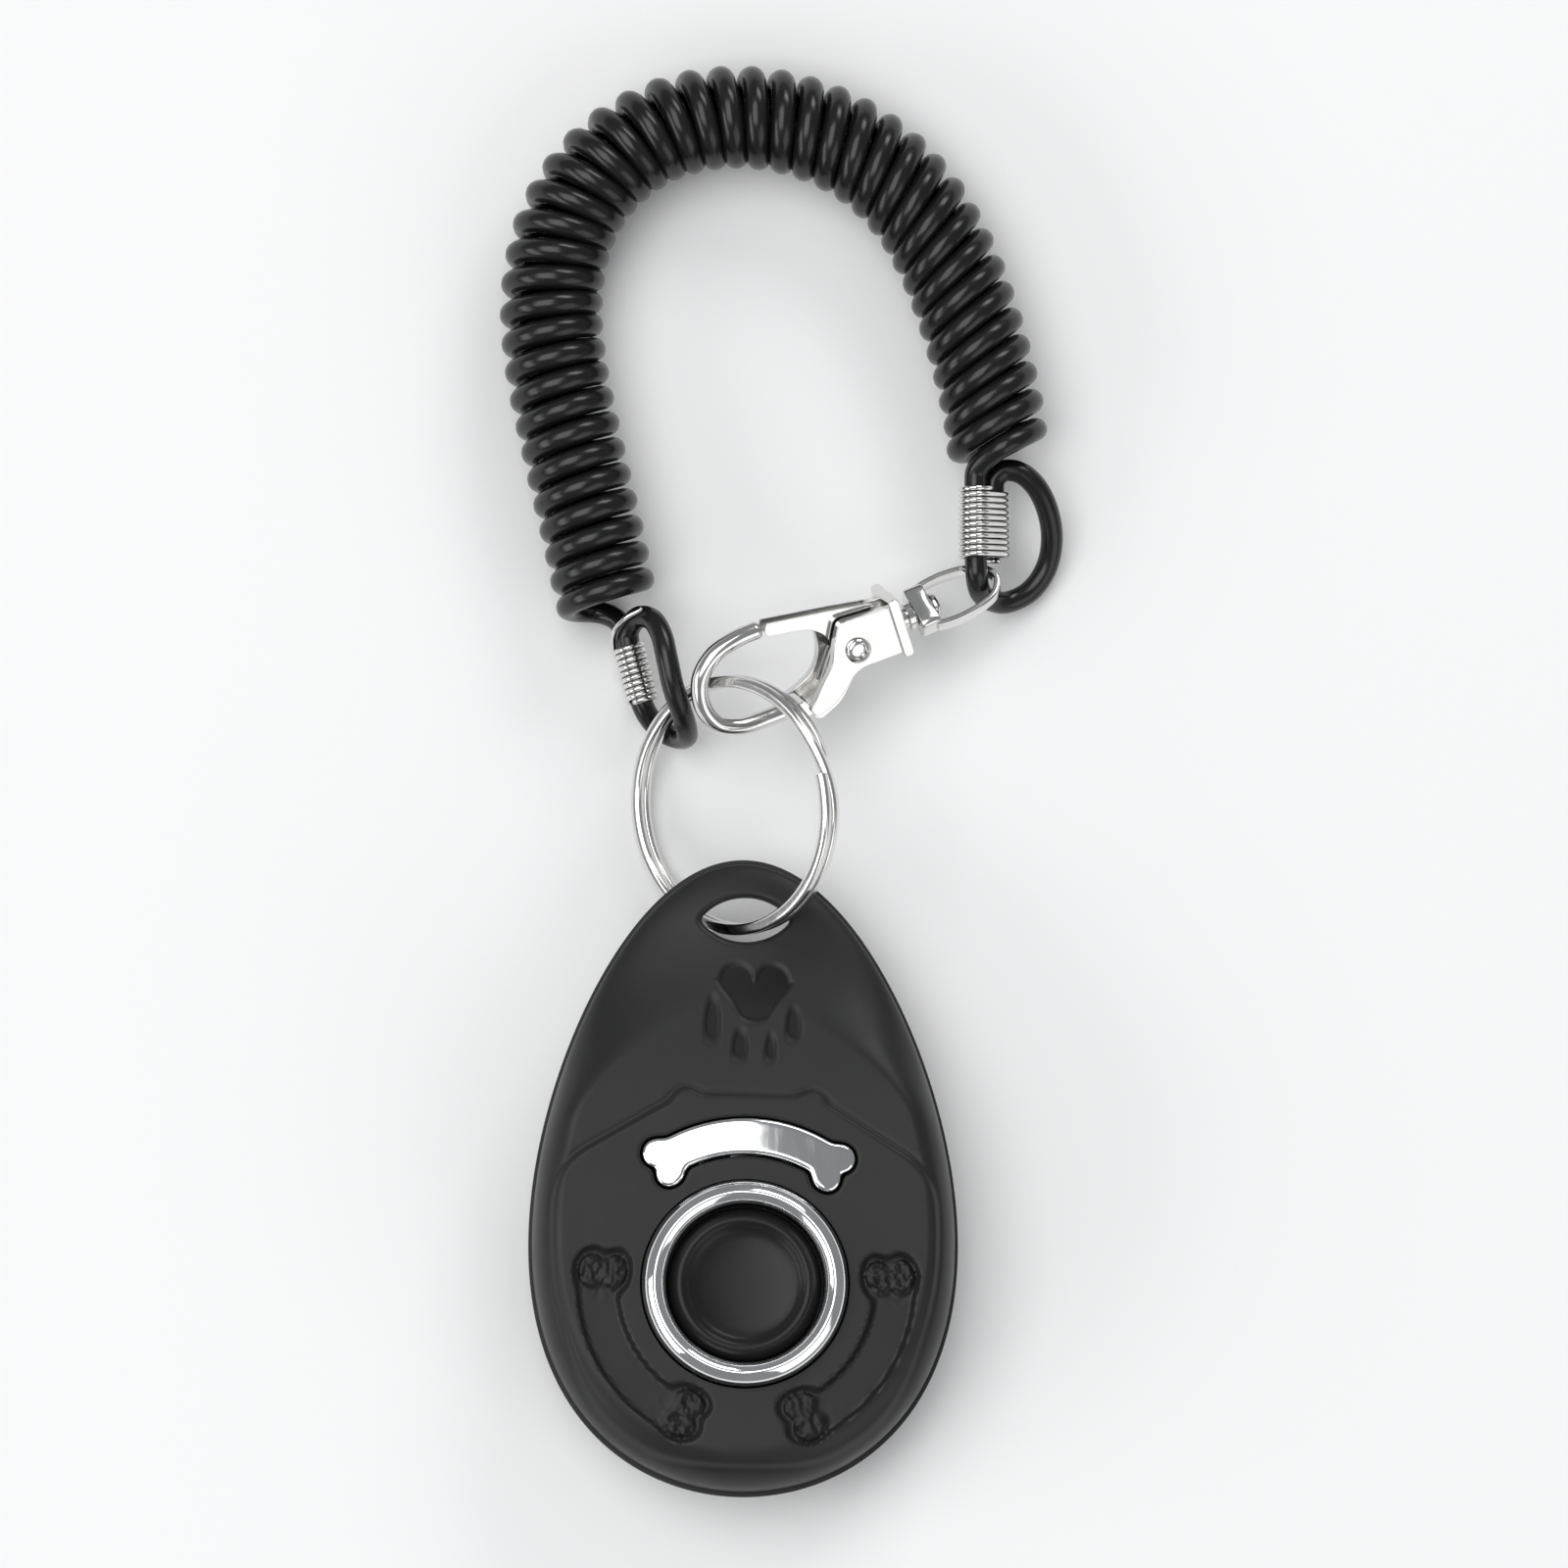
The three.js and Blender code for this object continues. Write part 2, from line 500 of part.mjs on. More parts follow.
function cordLoop(name, line) {
  return piece(name, bar(line, CORD / 2, 8, 40), blackCord());
}

// An oval sleeve round two strands of cord that lie side by side.
function ferrule(name) {
  const { from, to, strands } = FERRULES[name];
  const axis = vector(to).sub(vector(from));
  const length = axis.length();
  const beside = vector(strands).normalize();
  axis.normalize();
  beside.addScaledVector(axis, -beside.dot(axis)).normalize();
  const oval = (radius, start, end) => {
    const points = [];
    for (let index = 0; index < FERRULE.facets; index++) {
      const angle = (index + 0.5) / FERRULE.facets * 2 * Math.PI;
      const reach = Math.sign(Math.cos(angle)) * FERRULE.strandGap / 2;
      points.push([reach + radius * Math.cos(angle), radius * Math.sin(angle)]);
    }
    return slab(points, start, end);
  };
  const inside = CORD / 2 + GAP + 0.05;
  const sleeve = oval(inside + FERRULE.wall, 0, length).subtract(oval(inside, -1, length + 1));
  const mesh = piece(name, sleeve, nickel());
  const matrix = new THREE.Matrix4().makeBasis(beside, axis.clone().cross(beside), axis);
  matrix.setPosition(...from).decompose(mesh.position, mesh.quaternion, mesh.scale);
  return mesh;
}

// ---------------------------------------------------------------- assembly

const block = caseBlock();
const clicker = new THREE.Group();
clicker.add(frontShell(block), backShell(block), buttonBezel(), boneInlay(), buttonCap());
clicker.add(clickPlate(), plateClamp(), plateScrew());
Object.keys(CASE_SCREWS).forEach((side) => clicker.add(caseScrew(side)));
clicker.add(splitRing(), snapHook());
clicker.add(wristCoil(), cordLoop('ring_loop', RING_LOOP), cordLoop('clasp_loop', CLASP_LOOP));
Object.keys(FERRULES).forEach((name) => clicker.add(ferrule(name)));

export default clicker;
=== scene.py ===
"""Clicker trainer: an egg-shaped clicker, its split ring and a coiled wrist strap with a snap hook.

Lengths in the constants are in millimetres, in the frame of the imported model. Every mesh is
turned into metres as it is made.
"""
from functools import partial
from math import atan2, cos, degrees, exp, hypot, pi, radians, sin, sqrt

import bmesh
import bpy
from mathutils import Matrix, Vector, noise


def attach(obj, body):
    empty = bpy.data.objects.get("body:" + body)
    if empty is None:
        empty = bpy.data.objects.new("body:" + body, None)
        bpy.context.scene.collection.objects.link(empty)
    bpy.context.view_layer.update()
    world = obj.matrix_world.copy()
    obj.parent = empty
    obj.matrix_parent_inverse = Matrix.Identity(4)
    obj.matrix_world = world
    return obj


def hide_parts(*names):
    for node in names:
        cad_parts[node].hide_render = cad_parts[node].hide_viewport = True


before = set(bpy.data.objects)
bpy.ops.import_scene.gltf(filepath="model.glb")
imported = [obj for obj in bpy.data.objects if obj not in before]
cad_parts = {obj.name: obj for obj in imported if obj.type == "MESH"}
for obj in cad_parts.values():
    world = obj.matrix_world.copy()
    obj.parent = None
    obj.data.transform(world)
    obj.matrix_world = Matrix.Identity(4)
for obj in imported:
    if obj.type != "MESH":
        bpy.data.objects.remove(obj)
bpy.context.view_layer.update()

MM = 0.001
SCENE = bpy.context.scene
SQUARE = [(-1, -1), (1, -1), (1, 1), (-1, 1)]

# ---- dimensions

CAMERA_DISTANCE = 2500
FRAME_HEIGHT = 162
SENSOR = 36
FLOOR_REACH = 3.0
# Area lights, in metres: place, target, size, power in watts.
LIGHT_TARGET = (0.0, 0.05, 0.0)
LIGHTS = {
    "high_panel": ((-1.16, 0.4, 3.0), (-1.16, 0.4, 0.0), (2.5, 2.8), 64),
    "left_panel": ((-0.85, -0.3, 0.42), LIGHT_TARGET, (0.9, 0.35), 3.0),
    "far_panel": ((0.35, 0.85, 0.55), LIGHT_TARGET, (0.5, 0.3), 2.5),
    "right_panel": ((0.62, -0.6, 0.58), LIGHT_TARGET, (0.8, 0.8), 2.3),
}

# The case's outline: an ellipse that narrows towards the tab.
EGG_HALF_WIDTH = 21.61
EGG_HALF_LENGTH = 32.89
EGG_CENTRE_Y = 6.73
EGG_TAPER = -0.2197
EGG_TAPER2 = 0.033
SEAM_Z = 9.2
SEAM_GAP = 0.15
RIM_HALF = 0.5
# Each face stands "height" off the seam, and "tab_height" at the tab. It gets thinner between the
# two y values, and rounds off to the rim beyond its shoulder, a share of the egg's size.
FRONT = {
    "height": 6.2, "tab_height": 3.2, "from": 12, "to": 33,
    "shoulder": 0.86, "tab_shoulder": 0.35, "inset": 0.985,
}
BACK = {
    "height": 9.2, "tab_height": 2.4, "from": 9, "to": 33,
    "shoulder": 0.8, "tab_shoulder": 0.45, "inset": 1.0,
}
LIP_SCALE = 0.972
TONGUE_SCALES = (0.95, 0.968)
TONGUE_HEIGHTS = (8.6, 9.8)

# The raised panel round the button, and what is sunk into it. All of it leans a little.
BUTTON_CENTRE = (0.0, -4.6)
LEAN = radians(-1.5)
PANEL_STEP = 0.35
PANEL_GROOVE = 0.13
PANEL_SCALE = (0.9, 0.945)
PANEL_TOP_Y = 14.9
PANEL_BOTTOM_Y = -23.5
PANEL_FADE_Y = (17, 32)
# The panel's top corners: half the width at the top, half the width lower down, and that lower y.
PANEL_SHOULDER = (6.9, 17.0, 8.8)
# A bone bends round the button: its circle's radius, half the shaft's width, the angles of its two
# ends, and how far its knobs' lobes lie off the circle, with their radius and stretch.
SIDE_BONE = {"shaft": 2.05, "lobes": (-1.65, 0.75), "lobe": 1.75, "long": 1.3}
BONE_LEFT = {**SIDE_BONE, "circle": 15.15, "angles": (174.5, 245)}
BONE_RIGHT = {**SIDE_BONE, "circle": 15.4, "angles": (-66, 3)}
INLAY = {
    "shaft": 1.85, "lobes": (-1.4, 1.1), "lobe": 1.45, "long": 1.05, "circle": 15.2, "angles": (52.5, 124),
}
BONE_ZONE = (10.5, 20.5)
SIDE_BONE_DEPTH = 0.72
FOOT_GROOVE = 0.16
KNOB_RELIEF = 0.32
INLAY_GAP = 0.22
INLAY_BOTTOM = 14.4
INLAY_TOP = 15.95
INLAY_BEND = 0.0038
INLAY_CREST = 1.2
PAW = (0.25, 25.6)
PAW_DEPTH = 0.17
# The paw's toes from its middle: x, y, half width, half length.
TOES = [(-4.25, -2.95, 0.8, 2.4), (-1.35, -5.5, 0.8, 1.6), (1.8, -5.75, 0.55, 1.35), (4.1, -3.15, 0.75, 1.75)]
TAB_FROM_Y = 14
TAB_HOLE = {"x": 0.2, "y": 33.3, "width": 9.5, "height": 4.7}
TAB_HOLE_FLARE = 0.8
HOLE_ROUNDING = 0.7

# The button's well, and the profiles of its chrome ring and of the button, as (radius, height).
WELL_RADIUS = 10.8
BEZEL_PROFILE = [
    (8.15, 14.25), (10.5, 14.25), (10.6, 15.0), (10.6, 16.2), (10.53, 16.75), (10.35, 17.15), (10.05, 17.45),
    (9.7, 17.72), (9.45, 17.88), (9.3, 17.92), (9.15, 17.88), (8.9, 17.72), (8.6, 17.48), (8.35, 17.2),
    (8.22, 16.9), (8.15, 16.4),
]
BUTTON_PROFILE = [
    (0.0, 10.9), (9.7, 10.9), (9.7, 12.0), (7.95, 12.0), (7.93, 14.2), (7.85, 14.65), (7.65, 15.0),
    (7.35, 15.35), (7.0, 15.62), (6.65, 15.72), (6.3, 15.64), (6.0, 15.4), (5.75, 15.12), (5.4, 14.94),
    (4.5, 14.77), (3.0, 14.66), (1.5, 14.61), (0.0, 14.6),
]

# In the back: three sound slots (their y, half the straight length and the end radius), three screws.
SOUND_SLOTS = [-9.0, -12.5, -16.0]
SLOT_HALF = (5.0, 1.0)
SLOT_ROUNDING = 0.35
SCREWS = {
    "left": {"x": -14.6, "y": -1.0, "head": 0.6, "tip": 13.0},
    "right": {"x": 14.6, "y": -1.0, "head": 0.6, "tip": 13.0},
    "top": {"x": 0.0, "y": 24.0, "head": 5.4, "tip": 12.4},
}
SCREW_HEAD_RADIUS = 2.0
SCREW_RECESS = (1.15, 0.28)
COUNTERBORE = 2.3
COUNTERBORE_DEPTH = 2.2

# The split ring: its mean radius, half sizes of the flattened wire, and the step between its turns.
RING_RADIUS = 12.8
RING_WIRE = (0.62, 0.52)
RING_PITCH = 1.1
RING_START = 12
RING_SWEEP = 712
RING_END_DIP = 0.12
RING_CENTRE = (-0.9, 45.2, 10.3)
RING_LEAN = radians(43)
RING_TURN = radians(10)

# The hook lies in its own frame: x runs along it from the flange, and y towards its gate.
HOOK_FLANGE = (16.03, 64.57, 8.4)
HOOK_HEADING = radians(204.3)
HOOK_RISE = radians(8.5)
HOOK_ROLL = radians(29)
EYE_TURN = radians(54)
RIVET = (5.6, -0.2)

# The cord: its thickness, the coil's helix and the line that the coil follows, then the two loops.
CORD = 2.3
COIL_RADIUS = 4.1
COIL_TURNS = 41
COIL_START_ANGLE = 300
COIL_END_ANGLE = 75
COIL_SWELL = 1.1
COIL_SWELL_FADE = (4, 20)
COIL_MARGIN = 0.9
LOOP_STEPS = 12
JOIN_STEPS = 10
JOIN_PULL = 4.5
COIL_LEAN = 0.32
COIL_LEAN_SPAN = (0.55, 0.8)
COIL_HEIGHT = 5.42
COIL_LINE = [
    (-13.8, 65.6), (-15.4, 73.4), (-17.6, 82.9), (-19.4, 92.0), (-19.7, 99.0), (-18.0, 106.4),
    (-14.0, 112.1), (-8.2, 115.8), (-1.1, 117.2), (6.2, 116.2), (12.9, 113.0), (17.9, 108.1),
    (21.2, 102.4), (23.4, 96.6), (25.1, 90.6), (26.1, 85.8), (26.6, 81.6),
]
RING_LOOP = [
    (-12.3, 64.2, 2.6), (-11.9, 62.6, 2.75), (-11.05, 59.4, 2.7), (-10.2, 56.2, 2.55), (-9.2, 54.6, 1.9),
    (-7.9, 53.5, 1.6), (-6.6, 52.9, 2.4), (-5.8, 52.8, 4.6), (-5.85, 53.5, 7.1), (-6.5, 55.2, 9.9),
    (-7.3, 57.4, 11.2), (-7.9, 60.1, 11.5), (-8.5, 62.8, 10.7), (-9.4, 64.5, 9.3), (-10.8, 64.9, 7.4),
    (-11.8, 63.6, 5.8), (-11.65, 61.9, 5.5), (-10.4, 57.0, 5.4),
]
CLASP_LOOP = [
    (24.05, 79.6, 7.55), (24.05, 77.6, 7.55), (24.05, 74.4, 7.55), (24.05, 71.6, 7.6), (24.1, 70.5, 7.8),
    (24.15, 69.5, 7.75), (24.3, 68.55, 6.95), (24.7, 67.75, 5.4), (25.7, 67.2, 3.5), (27.5, 67.1, 2.1),
    (29.9, 68.3, 1.6), (31.6, 70.7, 1.9), (32.15, 73.8, 3.0), (31.5, 76.9, 4.4), (30.2, 79.1, 5.3),
    (28.6, 80.3, 5.6), (27.0, 80.4, 5.65), (26.1, 79.5, 5.65), (25.95, 78.3, 5.65), (25.95, 71.4, 5.65),
]
FERRULES = {
    "ring_end": {"from": (-11.9, 62.6, 4.1), "to": (-10.2, 56.2, 4.0), "strands": (0, 0, 1)},
    "clasp_end": {"from": (25.0, 78.7, 6.6), "to": (25.0, 70.9, 6.6), "strands": (1, 0, -1)},
}
FERRULE_WIRE = 0.28
FERRULE_PITCH = 0.62
FERRULE_TAIL = [(-10.6, 65.5, 9.7), (-11.9, 64.9, 8.8), (-12.9, 64.1, 7.6), (-13.35, 63.2, 6.4)]
STRAND_GAP = 2.7


# ---- small tools

def smooth(value, start, end):
    """0 before the start, 1 after the end, and a smooth step between them."""
    share = min(1.0, max(0.0, (value - start) / (end - start)))
    return share * share * (3 - 2 * share)


def lerp(start, end, share):
    return start + (end - start) * share


def soft_min(first, second, width):
    """The smaller of two values, blended where they are within the width of each other."""
    share = max(width - abs(first - second), 0.0) / width
    return min(first, second) - share * share * width / 4


def turned_about(x, y, centre, angle):
    """The point, turned about a centre."""
    dx, dy = x - centre[0], y - centre[1]
    cosine, sine = cos(angle), sin(angle)
    return centre[0] + dx * cosine - dy * sine, centre[1] + dx * sine + dy * cosine


def curve_through(points, per_span=16):
    """Points along a centripetal Catmull-Rom curve through the given ones."""
    given = [Vector(point) for point in points]
    given = [2 * given[0] - given[1]] + given + [2 * given[-1] - given[-2]]
    found = []
    for before, start, end, after in zip(given, given[1:], given[2:], given[3:]):
        first = (start - before).length ** 0.5
        middle = (end - start).length ** 0.5
        last = (after - end).length ** 0.5
        leave = (start - before) / first - (end - before) / (first + middle) + (end - start) / middle
        arrive = (end - start) / middle - (after - start) / (middle + last) + (after - end) / last
        leave *= middle
        arrive *= middle
        for step in range(per_span):
            found.append(hermite(start, leave, end, arrive, step / per_span))
    found.append(given[-2])
    return found


def hermite(start, leave, end, arrive, share):
    square = share * share
    cube = square * share
    return (start * (2 * cube - 3 * square + 1) + leave * (cube - 2 * square + share)
            + end * (3 * square - 2 * cube) + arrive * (cube - square))


def line_length(points):
    return sum((after - before).length for before, after in zip(points, points[1:]))


def evenly(points, count):
    """The same line with its points at equal distances, and the direction at each."""
    spans = [after - before for before, after in zip(points, points[1:])]
    total = line_length(points)
    found = []
    index, passed = 0, 0.0
    for step in range(count + 1):
        wanted = total * step / count
        while index < len(spans) - 1 and passed + spans[index].length < wanted:
            passed += spans[index].length
            index += 1
        share = min(1.0, (wanted - passed) / spans[index].length)
        found.append((points[index] + spans[index] * share, spans[index].normalized()))
    return found


def new_object(name, data):
    made = bpy.data.objects.new(name, data)
    SCENE.collection.objects.link(made)
    return made


def add_piece(name, data, body, nodes, slot):
    """A mesh or curve in metres becomes a piece that rides on a body and stands for CAD nodes."""
    piece = new_object(name, data)
    data.materials.append(LOOKS[slot])
    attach(piece, body)
    if nodes:
        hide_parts(*nodes)
    return piece


def add_solid(name, part, body, nodes, slot, sharp=40):
    return add_piece(name, mesh_from(name, *part, sharp), body, nodes, slot)


def mesh_from(name, points, faces, sharp=40):
    """A smooth-shaded mesh in metres, from points in millimetres, with its sharp edges kept."""
    mesh = bpy.data.meshes.new(name)
    mesh.from_pydata([Vector(point) * MM for point in points], [], faces)
    tidy = bmesh.new()
    tidy.from_mesh(mesh)
    bmesh.ops.remove_doubles(tidy, verts=tidy.verts, dist=1e-7)
    bmesh.ops.recalc_face_normals(tidy, faces=tidy.faces)
    tidy.to_mesh(mesh)
    tidy.free()
    mesh.shade_smooth()
    mesh.set_sharp_from_angle(angle=radians(sharp))
    return mesh


def merged(*parts):
    """Several (points, faces) parts as one."""
    points, faces = [], []
    for part_points, part_faces in parts:
        start = len(points)
        points.extend(part_points)
        faces.extend([start + index for index in face] for face in part_faces)
    return points, faces


def moved(part, matrix):
    points, faces = part
    return [matrix @ Vector(point) for point in points], faces


def skin(loops, size):
    """Faces between each loop of points and the one after the last, all of the same size."""
    faces = []
    for loop in range(loops - 1):
        faces.extend(band(loop * size, (loop + 1) * size, size))
    return faces


def band(low, high, size):
    """Faces between two loops of points that start at the given indices."""
    pairs = [(step, (step + 1) % size) for step in range(size)]
    return [[low + here, low + after, high + after, high + here] for here, after in pairs]


def ring_skin(loops, size):
    """Faces between loops of points, with the last loop joined to the first."""
    return skin(loops, size) + band((loops - 1) * size, 0, size)


def capped_skin(loops, size):
    """Faces between loops of points, with a face over each end."""
    ends = [list(range(size))[::-1], list(range((loops - 1) * size, loops * size))]
    return ends + skin(loops, size)


def circle_steps(count):
    """The cosine and the sine of each of so many equal steps round a circle."""
    angles = [2 * pi * step / count for step in range(count)]
    return [(cos(angle), sin(angle)) for angle in angles]


def turned(profile, facets=96, centre=(0.0, 0.0)):
    """A turned solid about a vertical line. The profile of (radius, height) closes on itself."""
    points = []
    x, y = centre
    for cosine, sine in circle_steps(facets):
        points.extend((x + radius * cosine, y + radius * sine, height) for radius, height in profile)
    return points, ring_skin(facets, len(profile))


def prism(outline, bottom, top):
    """A flat outline of (x, y), extruded."""
    points = [(x, y, height) for height in (bottom, top) for x, y in outline]
    return points, capped_skin(2, len(outline))


def swept(line, frames, section):
    """A closed solid with the same section all along a line. A frame is two directions."""
    points = []
    for place, (first, second) in zip(line, frames):
        points.extend(place + first * across + second * up for across, up in section)
    return points, capped_skin(len(line), len(section))


def rounded_section(half_width, half_height, corner, steps=4):
    """A rectangle with round corners."""
    section = []
    for quarter, (side, height) in enumerate([(1, -1), (1, 1), (-1, 1), (-1, -1)]):
        centre = (side * (half_width - corner), height * (half_height - corner))
        for step in range(steps + 1):
            angle = radians(-90 + 90 * quarter + 90 * step / steps)
            section.append((centre[0] + corner * cos(angle), centre[1] + corner * sin(angle)))
    return section


def frames_along(line, hint):
    """Two directions square to the line at each point, turning as little as they can."""
    frames = []
    side = Vector(hint)
    for index in range(len(line)):
        ahead = (line[min(index + 1, len(line) - 1)] - line[max(index - 1, 0)]).normalized()
        side = (side - ahead * side.dot(ahead)).normalized()
        frames.append((side, ahead.cross(side)))
    return frames


def rounded_end(place, neighbour, directions, radius):
    """Three smaller and smaller loops beyond the end of a tube, each as (place, frame, share)."""
    found = []
    out = (place - neighbour).normalized()
    for angle in (30, 60, 80):
        reach = 0.6 * radius * sin(radians(angle))
        found.append((place + out * reach, directions, cos(radians(angle))))
    return found


def tube(line, radius, hint, facets=16, flatten=1.0):
    """A round bar along a line, with rounded ends."""
    frames = frames_along(line, hint)
    loops = rounded_end(line[0], line[1], frames[0], radius)[::-1]
    loops += [(place, directions, 1.0) for place, directions in zip(line, frames)]
    loops += rounded_end(line[-1], line[-2], frames[-1], radius)
    points = []
    for place, (first, second), share in loops:
        for cosine, sine in circle_steps(facets):
            across, up = radius * share * cosine, radius * flatten * share * sine
            points.append(place + first * across + second * up)
    return points, capped_skin(len(loops), facets)


def bevel(piece, width):
    """Rounds the piece's sharp edges."""
    modifier = piece.modifiers.new("round_edges", "BEVEL")
    modifier.width = width * MM
    modifier.segments = 3
    modifier.limit_method = "ANGLE"
    modifier.angle_limit = radians(35)
    modifier.harden_normals = True


# ---- materials

def new_material(name):
    material = bpy.data.materials.new(name)
    material.use_nodes = True
    tree = material.node_tree
    return material, tree, tree.nodes["Principled BSDF"]


def feed(tree, node, inputs):
    """Sets a node's inputs. An output of another node is linked, and a plain value is set."""
    for name, value in inputs.items():
        if isinstance(value, bpy.types.NodeSocket):
            tree.links.new(value, node.inputs[name])
        else:
            node.inputs[name].default_value = value


def add_node(tree, kind, output, inputs, **settings):
    """A node with its settings and inputs, of which one output is used."""
    node = tree.nodes.new("ShaderNode" + kind)
    for name, value in settings.items():
        setattr(node, name, value)
    feed(tree, node, inputs)
    return node.outputs[output]


def add_noise(tree, scale, detail=3.0, stretch=(1, 1, 1)):
    """Noise over the object's own coordinates; scale is in features per millimetre."""
    place = add_node(tree, "TexCoord", "Object", {})
    mapped = add_node(tree, "Mapping", "Vector", {"Vector": place, "Scale": stretch})
    return add_node(tree, "TexNoise", "Fac", {"Vector": mapped, "Scale": scale / MM, "Detail": detail})


def spread(tree, source, low, high, start=0.3, end=0.7):
    """The source's values from start to end, mapped to low to high."""
    inputs = {"Value": source, "From Min": start, "From Max": end, "To Min": low, "To Max": high}
    return add_node(tree, "MapRange", "Result", inputs)


def blend(tree, share, first, second):
    """A blend of two colours."""
    return add_node(tree, "Mix", "Result", {"Factor": share, "A": first, "B": second}, data_type="RGBA")


def sum_of(tree, first, second):
    return add_node(tree, "Math", "Value", {0: first, 1: second}, operation="ADD")


def bumps(tree, heights, distance):
    """A normal from several (height, strength) sources, one after the other."""
    inputs = {}
    for height, strength in heights:
        inputs.update({"Height": height, "Strength": strength, "Distance": distance * MM})
        inputs["Normal"] = add_node(tree, "Bump", "Normal", inputs)
    return inputs["Normal"]


def moulded_plastic(name, dark, light, roughness, grain=0.12):
    """Satin moulded plastic: a fine grain, faint flow marks, and glossier on the smooth recess floors, where
    the colour is also darkened as painted shade.
    """
    material, tree, shader = new_material(name)
    cloud = add_noise(tree, 0.09, 4.0)
    fine = add_noise(tree, 7.0, 2.0)
    flow = add_noise(tree, 0.5, 3.0, (1, 0.25, 1))
    # The mask of the smooth recess floors: glossier for real, and darker as painted shade.
    gloss_and_shade = add_node(tree, "Attribute", "Fac", {}, attribute_name="recess_gloss_and_shade")
    grained_colour = blend(tree, cloud, (*dark, 1), (*light, 1))
    # A far darker colour for the recess floors: painted shade, not the plastic's own colour.
    painted_shade_colour = (*[value * 0.12 for value in dark], 1)
    rough = sum_of(tree, spread(tree, cloud, roughness - 0.05, roughness + 0.05),
                   spread(tree, flow, -0.03, 0.03))
    feed(tree, shader, {
        "Base Color": blend(tree, gloss_and_shade, grained_colour, painted_shade_colour),
        "Roughness": sum_of(tree, rough, spread(tree, gloss_and_shade, 0.0, -0.04, 0.0, 1.0)),
        "Normal": bumps(tree, [(fine, grain), (flow, 0.05)], 0.03),
        "Specular IOR Level": 0.25,
    })
    return material


def plated_metal(name, colour, roughness, wear=0.0):
    """Bright plating over a casting: soft smudges, and very fine scratches along the piece."""
    material, tree, shader = new_material(name)
    cloud = add_noise(tree, 0.25, 5.0)
    scratches = add_noise(tree, 3.0, 2.0, (1.0, 0.08, 0.3))
    pits = add_noise(tree, 2.5, 2.0)
    dull = [value * (0.9 - wear) for value in colour]
    feed(tree, shader, {
        "Metallic": 1.0,
        "Base Color": blend(tree, spread(tree, cloud, 0.0, 1.0), (*colour, 1), (*dull, 1)),
        "Roughness": sum_of(tree, spread(tree, cloud, roughness, roughness + 0.06 + wear),
                            spread(tree, scratches, 0.0, 0.05, 0.45, 0.75)),
        "Normal": bumps(tree, [(pits, 0.03), (scratches, 0.03)], 0.02),
    })
    return material


def cord_material(name):
    """Extruded glossy plastic cord, with faint draw marks."""
    material, tree, shader = new_material(name)
    cloud = add_noise(tree, 0.2, 3.0)
    fine = add_noise(tree, 2.0, 2.0)
    feed(tree, shader, {
        "Base Color": blend(tree, cloud, (0.006, 0.006, 0.0063, 1), (0.010, 0.010, 0.0105, 1)),
        "Roughness": spread(tree, fine, 0.2, 0.28),
        "Normal": bumps(tree, [(fine, 0.06)], 0.02),
        "IOR": 1.45,
        "Specular IOR Level": 0.5,
    })
    return material


# The look of each slot in the record: its name, what makes it, and the values for that.
LOOKS = {slot: make(slot, *values) for slot, make, *values in (
    ("case_plastic", moulded_plastic, (0.016, 0.016, 0.0165), (0.021, 0.021, 0.0215), 0.4),
    ("button_plastic", moulded_plastic, (0.008, 0.008, 0.0084), (0.012, 0.012, 0.0124), 0.36, 0.06),
    ("bezel_chrome", plated_metal, (0.86, 0.865, 0.87), 0.05),
    ("nickel_plate", plated_metal, (0.8, 0.795, 0.78), 0.09, 0.03),
    ("spring_steel", plated_metal, (0.55, 0.55, 0.56), 0.28, 0.05),
    ("cord_plastic", cord_material),
)}


# ---- camera, floor and light

def add_camera():
    """The camera looks almost straight down at the object, from a little below and to its left."""
    target = Vector((4.3, 47.8, 6.0)) * MM
    back = Vector((-0.03, -0.09, 1.0)).normalized()
    right = Vector((0, 1, 0)).cross(back).normalized()
    up = back.cross(right)
    data = bpy.data.cameras.new("camera")
    data.sensor_width = SENSOR
    data.lens = SENSOR * CAMERA_DISTANCE / FRAME_HEIGHT
    data.clip_start = 0.05
    data.clip_end = 20
    camera = new_object("camera", data)
    turn = Matrix((right, up, back)).transposed().to_4x4()
    camera.matrix_world = Matrix.Translation(target + back * CAMERA_DISTANCE * MM) @ turn
    SCENE.camera = camera
    SCENE.view_settings.view_transform = "Standard"


def add_light(name, place, target, size, power):
    data = bpy.data.lights.new(name, "AREA")
    data.shape = "RECTANGLE"
    data.size, data.size_y = size
    data.energy = power
    light = new_object(name, data)
    light.location = place
    light.rotation_euler = (Vector(target) - Vector(place)).to_track_quat("-Z", "Y").to_euler()


def add_studio():
    """A pale floor, one big soft light overhead, three smaller ones, and darker surroundings."""
    floor_mesh = bpy.data.meshes.new("floor")
    corners = [(x * FLOOR_REACH, y * FLOOR_REACH, 0) for x, y in SQUARE]
    floor_mesh.from_pydata(corners, [], [(0, 1, 2, 3)])
    floor = new_object("floor", floor_mesh)
    floor.location = (0, 0, -0.2 * MM)
    paint, tree, shader = new_material("floor_paint")
    feed(tree, shader, {"Base Color": (0.9, 0.9, 0.9, 1), "Roughness": 0.8})
    floor_mesh.materials.append(paint)
    for name, settings in LIGHTS.items():
        add_light(name, *settings)
    world = bpy.data.worlds.new("studio")
    SCENE.world = world
    world.use_nodes = True
    sky = world.node_tree.nodes["Background"]
    feed(world.node_tree, sky, {"Color": (0.95, 0.97, 1.0, 1), "Strength": 0.27})


add_camera()
add_studio()


# ---- wrist strap

